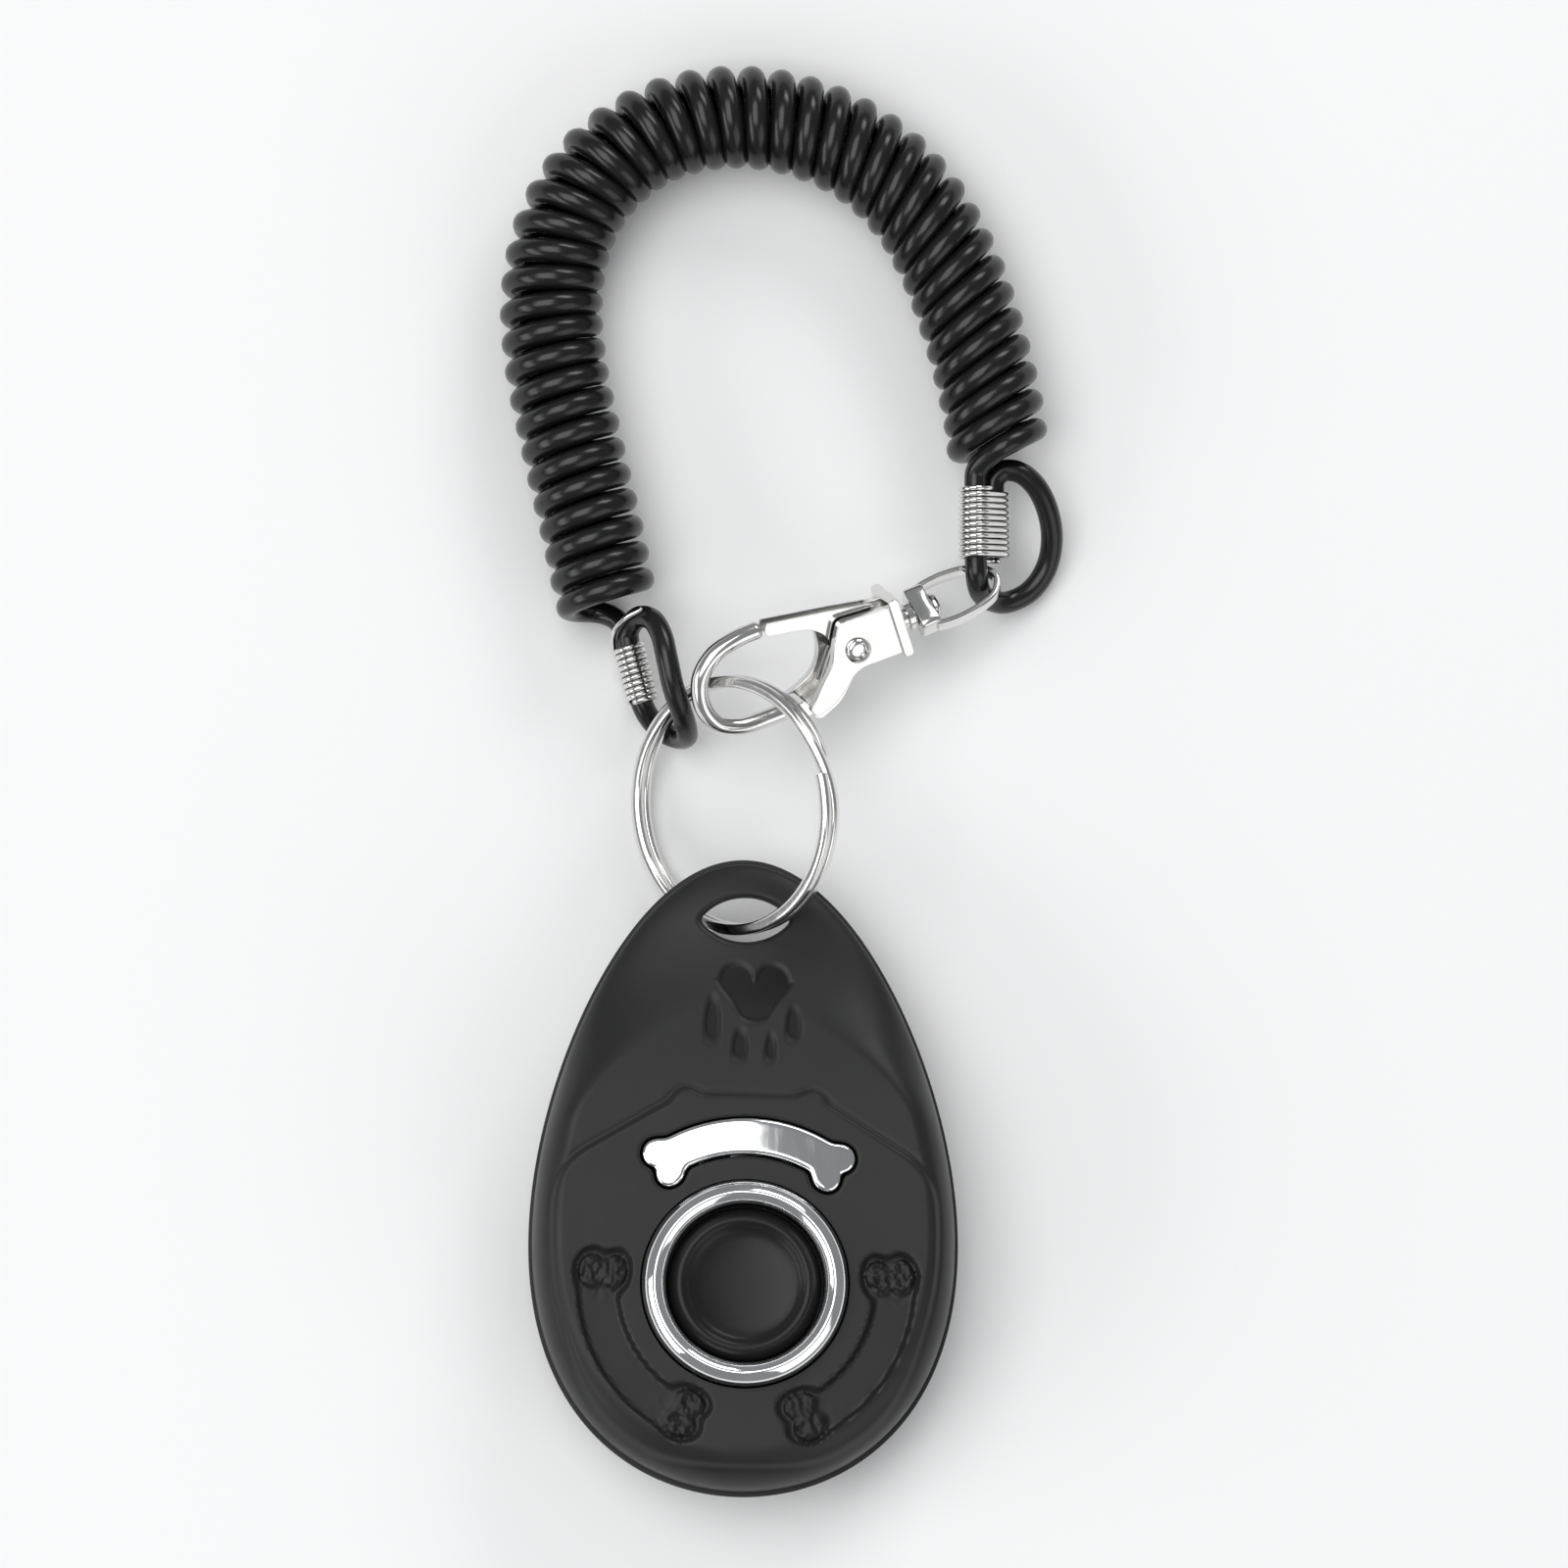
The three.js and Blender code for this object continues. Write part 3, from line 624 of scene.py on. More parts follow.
def coil_points(per_turn=28):
    """The cord's curly stretch: a right-handed helix round the coil's own line."""
    turns = COIL_TURNS + (COIL_END_ANGLE - COIL_START_ANGLE) / 360
    count = int(turns * per_turn)
    line = curve_through([(x, y, COIL_HEIGHT) for x, y in COIL_LINE])
    margin = COIL_MARGIN / line_length(line)
    stations = evenly(line, count)
    points = []
    for index in range(count + 1):
        exact = margin * count + (1 - 2 * margin) * index
        low = min(int(exact), count - 1)
        place, ahead = [before.lerp(after, exact - low) for before, after in zip(*stations[low:low + 2])]
        ahead.normalize()
        side = Vector((0, 0, 1)).cross(ahead).normalized()
        side -= ahead * (COIL_LEAN * smooth(index / count, *COIL_LEAN_SPAN))
        angle = radians(COIL_START_ANGLE) + 2 * pi * turns * index / count
        points.append(place + COIL_RADIUS * (cos(angle) * side + Vector((0, 0, sin(angle)))))
    return points


def cord_points():
    """The whole cord, from the ring's ferrule to the clasp's, and where its coil starts and ends."""
    ring_side = curve_through(RING_LOOP[::-1], LOOP_STEPS)
    coil = coil_points()
    clasp_side = curve_through(CLASP_LOOP, LOOP_STEPS)
    stretches = ring_side, joining(ring_side, coil), coil, joining(coil, clasp_side), clasp_side
    coil_start = len(stretches[0]) + len(stretches[1])
    return [point for stretch in stretches for point in stretch], coil_start, coil_start + len(coil)


def joining(before, after):
    """Points on a smooth curve from the end of one line to the start of another."""
    leave = (before[-1] - before[-2]).normalized() * JOIN_PULL
    arrive = (after[1] - after[0]).normalized() * JOIN_PULL
    return [hermite(before[-1], leave, after[0], arrive, step / JOIN_STEPS) for step in range(1, JOIN_STEPS)]


def add_cord():
    """The cord as one curve. Its turns in the coil are a little fuller than its loops."""
    points, coil_start, coil_end = cord_points()
    data = bpy.data.curves.new("cord", "CURVE")
    data.dimensions = "3D"
    data.bevel_depth = CORD / 2 * MM
    data.bevel_resolution = 6
    data.use_fill_caps = True
    spline = data.splines.new("POLY")
    spline.points.add(len(points) - 1)
    outside, inside = COIL_SWELL_FADE
    for index, (target, point) in enumerate(zip(spline.points, points)):
        target.co = (*(point * MM), 1)
        in_coil = smooth(index, coil_start - outside, coil_start + inside)
        in_coil *= 1 - smooth(index, coil_end - inside, coil_end + outside)
        target.radius = lerp(1.0, COIL_SWELL, in_coil)
    spline.use_smooth = True
    stood_for = ["wrist_coil", "ring_loop", "clasp_loop"]
    cord = add_piece("strap_cord", data, "strap", stood_for, "cord_plastic")
    return cord, line_length(points) * MM, points[0] * MM


def stadium_point(along, radius, reach):
    """A point of a racetrack outline, where along counts the whole trips round it."""
    straight, bend = 2 * reach, pi * radius
    second_half, distance = divmod(along % 1.0 * 2 * (straight + bend), straight + bend)
    side = -1 if second_half else 1
    if distance < bend:
        angle = distance / radius - pi / 2
        return side * (reach + radius * cos(angle)), side * radius * sin(angle)
    return side * (reach + bend - distance), side * radius


def ferrule(name, tail=()):
    """A close-wound wire round the two strands of cord. The tail is the wire's loose end."""
    spec = FERRULES[name]
    start, end = Vector(spec["from"]), Vector(spec["to"])
    axis = (end - start).normalized()
    length = (end - start).length
    beside = Vector(spec["strands"]).normalized()
    beside = (beside - axis * beside.dot(axis)).normalized()
    across = axis.cross(beside)
    turns = (length - 2 * FERRULE_WIRE) / FERRULE_PITCH
    radius = CORD / 2 + 0.05 + FERRULE_WIRE
    line = []
    count = int(turns * 44)
    for step in range(count + 1):
        share = step / count
        first, second = stadium_point(0.45 + share * turns, radius, STRAND_GAP / 2)
        place = start + axis * (FERRULE_WIRE + share * (length - 2 * FERRULE_WIRE))
        line.append(place + beside * first + across * second)
    if tail:
        line = curve_through([*tail, line[0]], 10)[:-1] + line
    wire = tube(line, FERRULE_WIRE, (0.3, 0.2, 1), 10)
    return add_solid(f"ferrule_wire_{name}", wire, "strap", [f"ferrule_{name}"], "nickel_plate")


strap_cord, cord_length, cord_exit = add_cord()
ferrule_wires = [ferrule("ring_end", FERRULE_TAIL), ferrule("clasp_end")]


# ---- the case's surface

def egg_width(cosine):
    """The egg's width, next to an ellipse's, where the angle from the tab has this cosine."""
    return 1 + EGG_TAPER * cosine + EGG_TAPER2 * cosine * cosine


def egg_point(turn, scale):
    cosine = cos(turn)
    x = -EGG_HALF_WIDTH * sin(turn) * egg_width(cosine) * scale
    return x, EGG_CENTRE_Y + EGG_HALF_LENGTH * cosine * scale


def egg_loop(count, scale):
    return [egg_point(2 * pi * step / count, scale) for step in range(count)]


def egg_scale(x, y):
    """The scale of the egg outline that goes through a point."""
    lift = (y - EGG_CENTRE_Y) / EGG_HALF_LENGTH
    across = (x / EGG_HALF_WIDTH) ** 2
    low, high = abs(lift), 1.5
    for _ in range(24):
        middle = (low + high) / 2
        width = egg_width(lift / middle)
        if (middle * middle - lift * lift) * width * width < across:
            low = middle
        else:
            high = middle
    return (low + high) / 2


def shoulder_fall(scale, shoulder):
    """1 over a face, falling along a quarter circle to 0 at its rim."""
    beyond = max(0.0, (scale - shoulder) / (1 - shoulder))
    return sqrt(max(0.0, 1 - beyond * beyond))


def edge_dip(distance, width):
    """0 away from a hole's edge, rising along a quarter circle to 1 at it."""
    near = max(0.0, 1 - max(0.0, distance) / width)
    return 1 - sqrt(1 - near * near)


def face_height(face, y, scale):
    """How far one face of the case stands off the seam."""
    towards_tab = smooth(y, face["from"], face["to"])
    height = lerp(face["height"], face["tab_height"], towards_tab)
    shoulder = lerp(face["shoulder"], face["tab_shoulder"], towards_tab)
    return RIM_HALF + (height - RIM_HALF) * shoulder_fall(scale / face["inset"], shoulder)


def panel_distance(x, y, scale):
    """Distance to the raised panel's edge, negative inside."""
    x, y = turned_about(x, y, BUTTON_CENTRE, -LEAN)
    half_top, half_low, low_y = PANEL_SHOULDER
    slope = atan2(PANEL_TOP_Y - low_y, half_low - half_top)
    side = (abs(x) - half_top) * sin(slope) + (y - PANEL_TOP_Y) * cos(slope)
    top = y - PANEL_TOP_Y
    corner = hypot(abs(x) - half_top + 0.5, y - PANEL_TOP_Y + 0.9) - 1.5
    roof = -soft_min(-top, -side, 1.2)
    roof = soft_min(roof, corner, 0.8)
    rim = (scale - lerp(*PANEL_SCALE, smooth(-y, 8, 20))) * 23
    floor = PANEL_BOTTOM_Y - y
    edge = -soft_min(-roof, -rim, 3.0)
    return -soft_min(-edge, -floor, 1.5)


def bone_distance(x, y, bone):
    """Distance to the outline of a bone bent round the button, negative inside."""
    dx, dy = x - BUTTON_CENTRE[0], y - BUTTON_CENTRE[1]
    radius = hypot(dx, dy)
    start, end = bone["angles"]
    middle = (start + end) / 2
    angle = (degrees(atan2(dy, dx)) - middle + 180) % 360 - 180 + middle
    past = max(start - angle, angle - end, 0.0)
    found = hypot(radius - bone["circle"], radians(past) * radius) - bone["shaft"]
    found = max(found, radians(past) * radius - 0.3)
    for turn in bone["angles"]:
        along = radians(angle - turn) * radius / bone["long"]
        for offset in bone["lobes"]:
            across = radius - bone["circle"] - offset
            found = soft_min(found, hypot(across, along) - bone["lobe"], 0.7)
    return found


def on_bone(bone, turn):
    """The point of a bone's middle line at an angle round the button."""
    angle, radius = radians(turn), bone["circle"]
    return BUTTON_CENTRE[0] + radius * cos(angle), BUTTON_CENTRE[1] + radius * sin(angle)


def heart_distance(x, y):
    """The paw's pad: two lobes on top, coming to a round point below."""
    lobes = hypot(abs(x) - 1.85, y - 1.3) - 1.8
    body = max(abs(x) * 0.824 - y * 0.567 - 2.56, y - 1.3)
    body = max(body, -2.7 - y)
    point = hypot(x, y + 1.55) - 1.55
    return soft_min(soft_min(lobes, body, 0.4), point, 0.6)


def paw_distance(x, y):
    x, y = turned_about(x, y, BUTTON_CENTRE, -LEAN)
    x, y = x - PAW[0], y - PAW[1]
    if abs(x) > 7 or abs(y) > 10:
        return 9.0
    found = heart_distance(x, y)
    for toe_x, toe_y, half_width, half_length in TOES:
        taper = max(0.6, 1 - 0.2 * (y - toe_y) / half_length)
        across = abs(x - toe_x) / (half_width * taper)
        along = abs(y - toe_y) / half_length
        rounded = (across ** 2.6 + along ** 2.6) ** (1 / 2.6)
        found = min(found, (rounded - 1) * half_width)
    return found


def hole_distance(x, y):
    """The tab's hole: a lens with rounded corners."""
    half, tall = TAB_HOLE["width"] / 2, TAB_HOLE["height"] / 2
    radius = (half * half + tall * tall) / (2 * tall)
    dx, dy = x - TAB_HOLE["x"], y - TAB_HOLE["y"]
    upper = hypot(dx, dy + radius - tall) - radius
    lower = hypot(dx, dy - radius + tall) - radius
    return -soft_min(-upper, -lower, 0.8)


def back_tab_hole_distance(x, y):
    """The back shell's part of the tab's hole is wider, so that the ring can swing in it."""
    return hole_distance(x, y) - TAB_HOLE_FLARE


def inlay_pocket_distance(x, y):
    return bone_distance(x, y, INLAY) - INLAY_GAP


def wall(distance, width):
    """1 well inside a sunk outline, 0 outside it, with a rounded wall between."""
    return smooth(-distance, -width / 2, width / 2)


def crumpled(x, y):
    """The bark-like relief on the floors of the bones' knobs."""
    broad = noise.noise(Vector((x * 0.9, y * 0.9, 3.0)))
    fine = noise.noise(Vector((x * 1.9, y * 1.9, 7.0)))
    return 0.45 - abs(broad) - 0.5 * abs(fine)


def front_height(x, y, scale=None):
    """The front face: the raised panel with its groove, the sunk bones and paw, and rounded hole edges."""
    scale = egg_scale(x, y) if scale is None else scale
    height = SEAM_Z + face_height(FRONT, y, scale)
    room = shoulder_fall(scale / FRONT["inset"], FRONT["shoulder"]) * (1 - smooth(y, *PANEL_FADE_Y))
    from_panel = panel_distance(x, y, scale)
    height -= PANEL_STEP * room * (1 - wall(from_panel, 0.8))
    height -= PANEL_GROOVE * room * exp(-((from_panel - 0.1) / 0.3) ** 2)
    from_button = hypot(x - BUTTON_CENTRE[0], y - BUTTON_CENTRE[1])
    if BONE_ZONE[0] < from_button < BONE_ZONE[1]:
        for bone in (BONE_LEFT, BONE_RIGHT):
            distance = bone_distance(x, y, bone)
            if distance < 0.6:
                height -= SIDE_BONE_DEPTH * wall(distance, 0.45)
                height -= FOOT_GROOVE * exp(-((distance + 0.35) / 0.2) ** 2)
                relief = KNOB_RELIEF * crumpled(x, y) * knob_share(x, y, bone)
                height += relief * wall(distance + 0.45, 0.5)
        height -= 0.15 * edge_dip(inlay_pocket_distance(x, y), 0.3)
    if y > TAB_FROM_Y:
        height -= PAW_DEPTH * wall(paw_distance(x, y), 0.5)
        height -= 0.55 * edge_dip(hole_distance(x, y), HOLE_ROUNDING)
    return height


def recess_gloss_and_shade(x, y):
    """1 on the smooth floors of the paw and of the side bones, 0 on the grained plastic. These floors are
    glossier, and their darker colour is painted shade.
    """
    found = wall(paw_distance(x, y) + 0.1, 0.3)
    for bone in (BONE_LEFT, BONE_RIGHT):
        found = max(found, 0.75 * wall(bone_distance(x, y, bone) + 0.35, 0.4))
    return found


def knob_share(x, y, bone):
    """1 on the bone's knobs, fading along the shaft."""
    knobs = [on_bone(bone, turn) for turn in bone["angles"]]
    nearest = min(hypot(x - knob_x, y - knob_y) for knob_x, knob_y in knobs)
    return 1 - smooth(nearest, 2.4, 4.0)


def back_height(x, y, scale=None):
    scale = egg_scale(x, y) if scale is None else scale
    height = SEAM_Z - face_height(BACK, y, scale)
    if y > TAB_FROM_Y:
        height += 0.45 * edge_dip(back_tab_hole_distance(x, y), HOLE_ROUNDING)
    for distance in SLOT_DISTANCES + BORE_DISTANCES:
        height += 0.25 * edge_dip(distance(x, y), SLOT_ROUNDING)
    return height


def slot_distance(slot_y, x, y):
    reach, radius = SLOT_HALF
    return hypot(max(abs(x) - reach, 0.0), y - slot_y) - radius


def round_hole_distance(centre_x, centre_y, radius, x, y):
    return hypot(x - centre_x, y - centre_y) - radius


SLOT_DISTANCES = [partial(slot_distance, slot_y) for slot_y in SOUND_SLOTS]
BORE_DISTANCES = [partial(round_hole_distance, screw["x"], screw["y"], COUNTERBORE)
                  for screw in SCREWS.values()]
WELL_DISTANCE = partial(round_hole_distance, *BUTTON_CENTRE, WELL_RADIUS)


def snapped(distance, x, y):
    """The nearest point of a hole's outline."""
    step = 0.01
    for _ in range(4):
        here = distance(x, y)
        slope_x = (distance(x + step, y) - distance(x - step, y)) / (2 * step)
        slope_y = (distance(x, y + step) - distance(x, y - step)) / (2 * step)
        size = max(1e-6, slope_x * slope_x + slope_y * slope_y)
        x -= here * slope_x / size
        y -= here * slope_y / size
    return x, y


def case_skin(height_at, scales, around, holes, rim_height, inset):
    """One face of the case as a fine mesh of egg outlines, down to the seam, with its holes cut.

    A hole is (distance function, list of the heights that its wall goes to in turn).
    """
    scales = [scale * inset for scale in scales]
    plan = [(0.0, EGG_CENTRE_Y)] + [point for scale in scales for point in egg_loop(around, scale)]
    known = [0.0] + [scale for scale in scales for _ in range(around)]
    faces = [[0, 1 + step, 1 + (step + 1) % around] for step in range(around)]
    for loop in range(len(scales) - 1):
        faces += band(1 + loop * around, 1 + (loop + 1) * around, around)
    borders = []
    for distance, levels in holes:
        inside = [distance(x, y) < 0 for x, y in plan]
        faces = [face for face in faces if not all(inside[index] for index in face)]
        edge = sorted({index for face in faces for index in face if inside[index]})
        for index in edge:
            plan[index] = snapped(distance, *plan[index])
            known[index] = None
        borders.append((set(edge), levels))
    solid = [(x, y, height_at(x, y, scale)) for (x, y), scale in zip(plan, known)]
    rim, drop = len(solid) - around, len(solid)
    for scale in (scales[-1], LIP_SCALE):
        solid.extend((x, y, rim_height) for x, y in egg_loop(around, scale))
    faces += band(rim, drop, around) + band(drop, drop + around, around)
    for edge, levels in borders:
        add_hole_wall(solid, faces, edge, levels)
    used = sorted({index for face in faces for index in face})
    place = {index: new for new, index in enumerate(used)}
    return [solid[index] for index in used], [[place[index] for index in face] for face in faces]


def add_hole_wall(solid, faces, edge, levels):
    """Walls down from a hole's border to each level in turn."""
    sides = {}
    for face in faces:
        for first, second in zip(face, face[1:] + face[:1]):
            if first in edge and second in edge:
                sides.setdefault(frozenset((first, second)), []).append((first, second))
    border = [pairs[0] for pairs in sides.values() if len(pairs) == 1]
    for level in levels:
        fresh = {}
        for first, second in border:
            for index in (first, second):
                if index not in fresh:
                    fresh[index] = len(solid)
                    solid.append((solid[index][0], solid[index][1], level))
        for first, second in border:
            faces.append([second, first, fresh[first], fresh[second]])
        border = [(fresh[first], fresh[second]) for first, second in border]


def graded_scales(fine):
    """Egg scales from the middle to the rim, closer together over the rounded shoulder."""
    scales = [fine * step for step in range(2, int(0.86 / fine))]
    value = scales[-1]
    while value < 0.9985:
        value += max(0.0012, fine * (1 - smooth(value, 0.86, 1.0)))
        scales.append(min(value, 1.0))
    if scales[-1] < 1.0:
        scales.append(1.0)
    return scales


def add_front_shell():
    around = 800
    scales = graded_scales(0.007)
    bottom = SEAM_Z + SEAM_GAP
    holes = [(hole_distance, [10.6, bottom]), (WELL_DISTANCE, [13.6]), (inlay_pocket_distance, [14.3])]
    face = case_skin(front_height, scales, around, holes, bottom, FRONT["inset"])
    mesh = add_solid("front_case", face, "case", ["front_shell"], "case_plastic", sharp=38).data
    # The mask of the sunk floors, for the material's gloss and its painted shade.
    gloss_and_shade_mask = mesh.attributes.new("recess_gloss_and_shade", "FLOAT", "POINT")
    gloss_and_shade_mask.data.foreach_set("value", [recess_gloss_and_shade(point.co.x / MM, point.co.y / MM) for point in mesh.vertices])


def tongue_part(count=160):
    """The low wall that stands up from the back shell's rim into the front shell."""
    inner, outer = TONGUE_SCALES
    bottom, top = TONGUE_HEIGHTS
    points = []
    for scale, height in ((inner, bottom), (outer, bottom), (outer, top), (inner, top)):
        points.extend((x, y, height) for x, y in egg_loop(count, scale))
    return points, ring_skin(4, count)


def add_back_shell():
    around = 420
    scales = graded_scales(0.014)
    top = SEAM_Z - SEAM_GAP
    holes = [(back_tab_hole_distance, [8.2, top])]
    holes += [(distance, [2.6]) for distance in SLOT_DISTANCES]
    floors = []
    for distance, screw in zip(BORE_DISTANCES, SCREWS.values()):
        floor_z = screw["head"] + COUNTERBORE_DEPTH
        holes.append((distance, [floor_z]))
        low, high, reach = floor_z - 0.1, floor_z + 0.3, COUNTERBORE + 0.1
        disc = [(0.0, low), (reach, low), (reach, high), (0.0, high)]
        floors.append(turned(disc, 32, (screw["x"], screw["y"])))
    face = case_skin(back_height, scales, around, holes, top, BACK["inset"])
    part = merged(face, tongue_part(), *floors)
    add_solid("back_case", part, "case", ["back_shell"], "case_plastic", sharp=38)


add_front_shell()
add_back_shell()


# ---- button, bezel and bone

def add_bezel():
    part = turned(BEZEL_PROFILE, 160, BUTTON_CENTRE)
    add_solid("chrome_ring", part, "case", ["button_bezel"], "bezel_chrome", sharp=50)


def add_button():
    part = turned(BUTTON_PROFILE, 128, BUTTON_CENTRE)
    add_solid("push_button", part, "button", ["button_cap"], "button_plastic", sharp=50)


def inlay_rays():
    """Rays from the bone's middle line out to its outline, going once round it."""
    start, end = INLAY["angles"]
    side_steps, end_steps = 60, 24
    turns = [start + (end - start) * step / side_steps for step in range(side_steps + 1)]
    half_turns = [180 * step / end_steps for step in range(1, end_steps)]
    rays = [(turn, turn) for turn in turns]
    rays += [(end, end + half_turn) for half_turn in half_turns]
    rays += [(turn, turn + 180) for turn in turns[::-1]]
    rays += [(start, start + 180 + half_turn) for half_turn in half_turns]
    found = []
    for turn, direction in rays:
        origin = on_bone(INLAY, turn)
        ray = (cos(radians(direction)), sin(radians(direction)))
        reach = 0.0
        for _ in range(60):
            gap = -bone_distance(origin[0] + ray[0] * reach, origin[1] + ray[1] * reach, INLAY)
            reach += gap * 0.6
        found.append((origin, ray, reach))
    return found


def add_inlay():
    """The chrome bone: a low crown with rounded edges."""
    rays = inlay_rays()
    shares = [0.0, 0.2, 0.4, 0.55, 0.68, 0.78, 0.85, 0.9, 0.94, 0.97, 0.99, 1.0]
    points = []
    for share in shares:
        for origin, ray, reach in rays:
            x, y = origin[0] + ray[0] * reach * share, origin[1] + ray[1] * reach * share
            crown = INLAY_TOP - INLAY_BEND * (x - INLAY_CREST) ** 2
            points.append((x, y, crown - 0.4 * edge_dip(reach * (1 - share), 0.55)))
    points += [(x, y, INLAY_BOTTOM) for x, y, _ in points[-len(rays):]]
    part = points, skin(len(shares) + 1, len(rays))
    add_solid("chrome_bone", part, "case", ["bone_inlay"], "bezel_chrome", sharp=50)


add_bezel()
add_button()
add_inlay()


# ---- split ring

def add_split_ring():
    """Two turns of flattened spring wire that step over each other once."""
    lean = Matrix.Rotation(RING_TURN, 3, "Z") @ Matrix.Rotation(-RING_LEAN, 3, "Y")
    across, along, axis = lean.transposed()
    centre = Vector(RING_CENTRE)
    count = 420
    line, frames = [], []
    for step in range(count + 1):
        share = step / count
        angle = radians(RING_START + RING_SWEEP * share)
        outward = across * cos(angle) + along * sin(angle)
        shift = RING_PITCH * (smooth(share, 0.465, 0.535) - 0.5)
        spring_in = RING_END_DIP * (1 - smooth(share, 0.0, 0.05) + smooth(share, 0.95, 1.0))
        line.append(centre + outward * (RING_RADIUS - spring_in) + axis * shift)
        frames.append((outward, axis))
    wire = swept(line, frames, rounded_section(*RING_WIRE, 0.36))
    add_solid("key_ring", wire, "ring", ["split_ring"], "nickel_plate")


add_split_ring()


# ---- snap hook

# From the hook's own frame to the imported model's.
HOOK = (Matrix.Translation(HOOK_FLANGE) @ Matrix.Rotation(HOOK_HEADING, 4, "Z")
        @ Matrix.Rotation(-HOOK_RISE, 4, "Y") @ Matrix.Rotation(pi - HOOK_ROLL, 4, "X"))
ALONG_X = Matrix(((0, 0, 1, 0), (0, 1, 0, 0), (-1, 0, 0, 0), (0, 0, 0, 1)))


def plate(corners, bottom, top):
    """A flat part of the hook with its corners rounded. A corner is (x, y, radius)."""
    return prism(rounded_outline(corners), bottom, top)


def rounded_outline(corners, steps=5):
    found = []
    count = len(corners)
    for index, (x, y, radius) in enumerate(corners):
        here = Vector((x, y))
        before = Vector(corners[index - 1][:2]) - here
        after = Vector(corners[(index + 1) % count][:2]) - here
        reach = min(radius, before.length * 0.45, after.length * 0.45)
        start, end = here + before.normalized() * reach, here + after.normalized() * reach
        for step in range(steps + 1):
            share = step / steps
            found.append(tuple(start.lerp(here, share).lerp(here.lerp(end, share), share)))
    return found


def hook_piece(name, parts, body, nodes, slot="nickel_plate"):
    """A piece of the hook, from parts in the hook's own frame."""
    return add_solid(name, moved(merged(*parts), HOOK), body, nodes, slot)


FLANGE = [(0.0, 3.6, 0.5), (0.0, -3.0, 0.5), (1.15, -3.0, 0.5), (1.15, 3.6, 0.5)]
BACK_WALL = [(0.9, -2.0, 0.2), (3.2, -2.4, 0.2), (3.2, 1.4, 0.2), (0.9, 1.4, 0.2)]
SPINE = [(11.8, -5.1, 0.4), (14.1, -5.15, 0.3), (14.1, -3.4, 0.3), (12.4, -3.3, 0.4)]
NEAR_CHEEK = [
    (0.9, 2.8, 0.3), (0.9, -2.5, 0.4), (6.2, -2.2, 1.2), (9.4, -4.8, 1.2), (11.9, -5.4, 0.6),
    (12.4, -4.4, 0.5), (10.6, -2.6, 1.0), (8.6, -0.6, 1.0), (8.0, 1.2, 1.0), (6.7, 3.5, 0.8),
    (5.0, 3.3, 1.2),
]
FAR_CHEEK = [
    (0.9, 2.6, 0.3), (0.9, -2.7, 0.4), (4.0, -3.3, 2.0), (8.0, -4.4, 2.0), (11.5, -5.15, 1.5),
    (14.2, -5.1, 0.3), (14.2, -3.4, 0.3), (12.2, -3.1, 1.0), (10.2, -2.3, 1.2), (9.0, -0.9, 1.0),
    (8.5, 0.9, 1.0), (8.5, 3.0, 0.5),
]
STUD_PROFILE = [
    (0.0, -4.6), (0.8, -4.55), (1.2, -4.35), (1.35, -4.1), (1.3, -3.9), (1.0, -3.85), (1.0, -1.6),
    (1.5, -1.5), (1.5, -0.9), (1.1, -0.8), (1.1, 0.6), (0.0, 0.6),
]
CLAW_LINE = [
    (12.6, -4.25, 0), (14.2, -4.3, 0), (16.0, -4.25, 0), (19.2, -3.9, 0), (21.5, -2.6, 0), (22.5, -0.2, 0),
    (21.9, 2.8, 0), (19.8, 4.7, 0), (16.8, 5.4, 0), (14.7, 5.4, 0),
]
GATE_ARM = [
    (2.2, 3.3, 0.3), (2.3, 2.6, 0.3), (3.9, 1.6, 0.8), (3.9, -1.2, 0.8), (5.0, -2.0, 0.6), (6.4, -2.0, 0.6),
    (7.6, -0.4, 0.8), (8.0, 2.2, 0.8), (9.6, 3.7, 0.8), (13.9, 4.7, 0.2), (14.1, 5.3, 0.1), (13.7, 6.0, 0.2),
    (7.0, 4.5, 1.0),
]
GATE_WEB = [
    (2.7, 2.7, 0.2), (4.0, 1.4, 0.8), (5.0, -1.8, 0.6), (6.4, -1.8, 0.6), (7.6, -0.4, 0.8), (8.0, 2.2, 0.8),
    (9.6, 3.65, 0.8), (13.9, 4.65, 0.2), (14.0, 5.1, 0.1), (7.0, 3.7, 1.0),
]
GATE_LEVER = [
    (4.6, -1.4, 0.4), (6.6, -1.5, 0.4), (8.2, -3.0, 1.0), (9.6, -4.4, 0.8), (11.7, -5.2, 0.3),
    (11.8, -5.9, 0.3), (11.1, -6.3, 0.4), (8.6, -5.4, 1.2), (7.2, -4.0, 1.0),
]


def add_hook_body():
    """Flange, cheeks, spine and claw, and the swivel stud with its peened head."""
    flange = plate(FLANGE, -2.75, 2.75)
    cheeks = [plate(FAR_CHEEK, 1.4, 2.4), plate(NEAR_CHEEK, -2.4, -1.4)]
    back_wall = plate(BACK_WALL, -1.5, 1.5)
    spine = plate(SPINE, -1.9, 1.6)
    bevel(hook_piece("hook_frame", [flange, *cheeks, back_wall, spine], "hook", ["clasp_body"]), 0.18)
    claw = tube(curve_through(CLAW_LINE, 14), 1.02, (0, 0, 1), 28, 0.92)
    stud = moved(turned(STUD_PROFILE, 48), ALONG_X)
    hook_piece("hook_claw", [claw, stud], "hook", [])


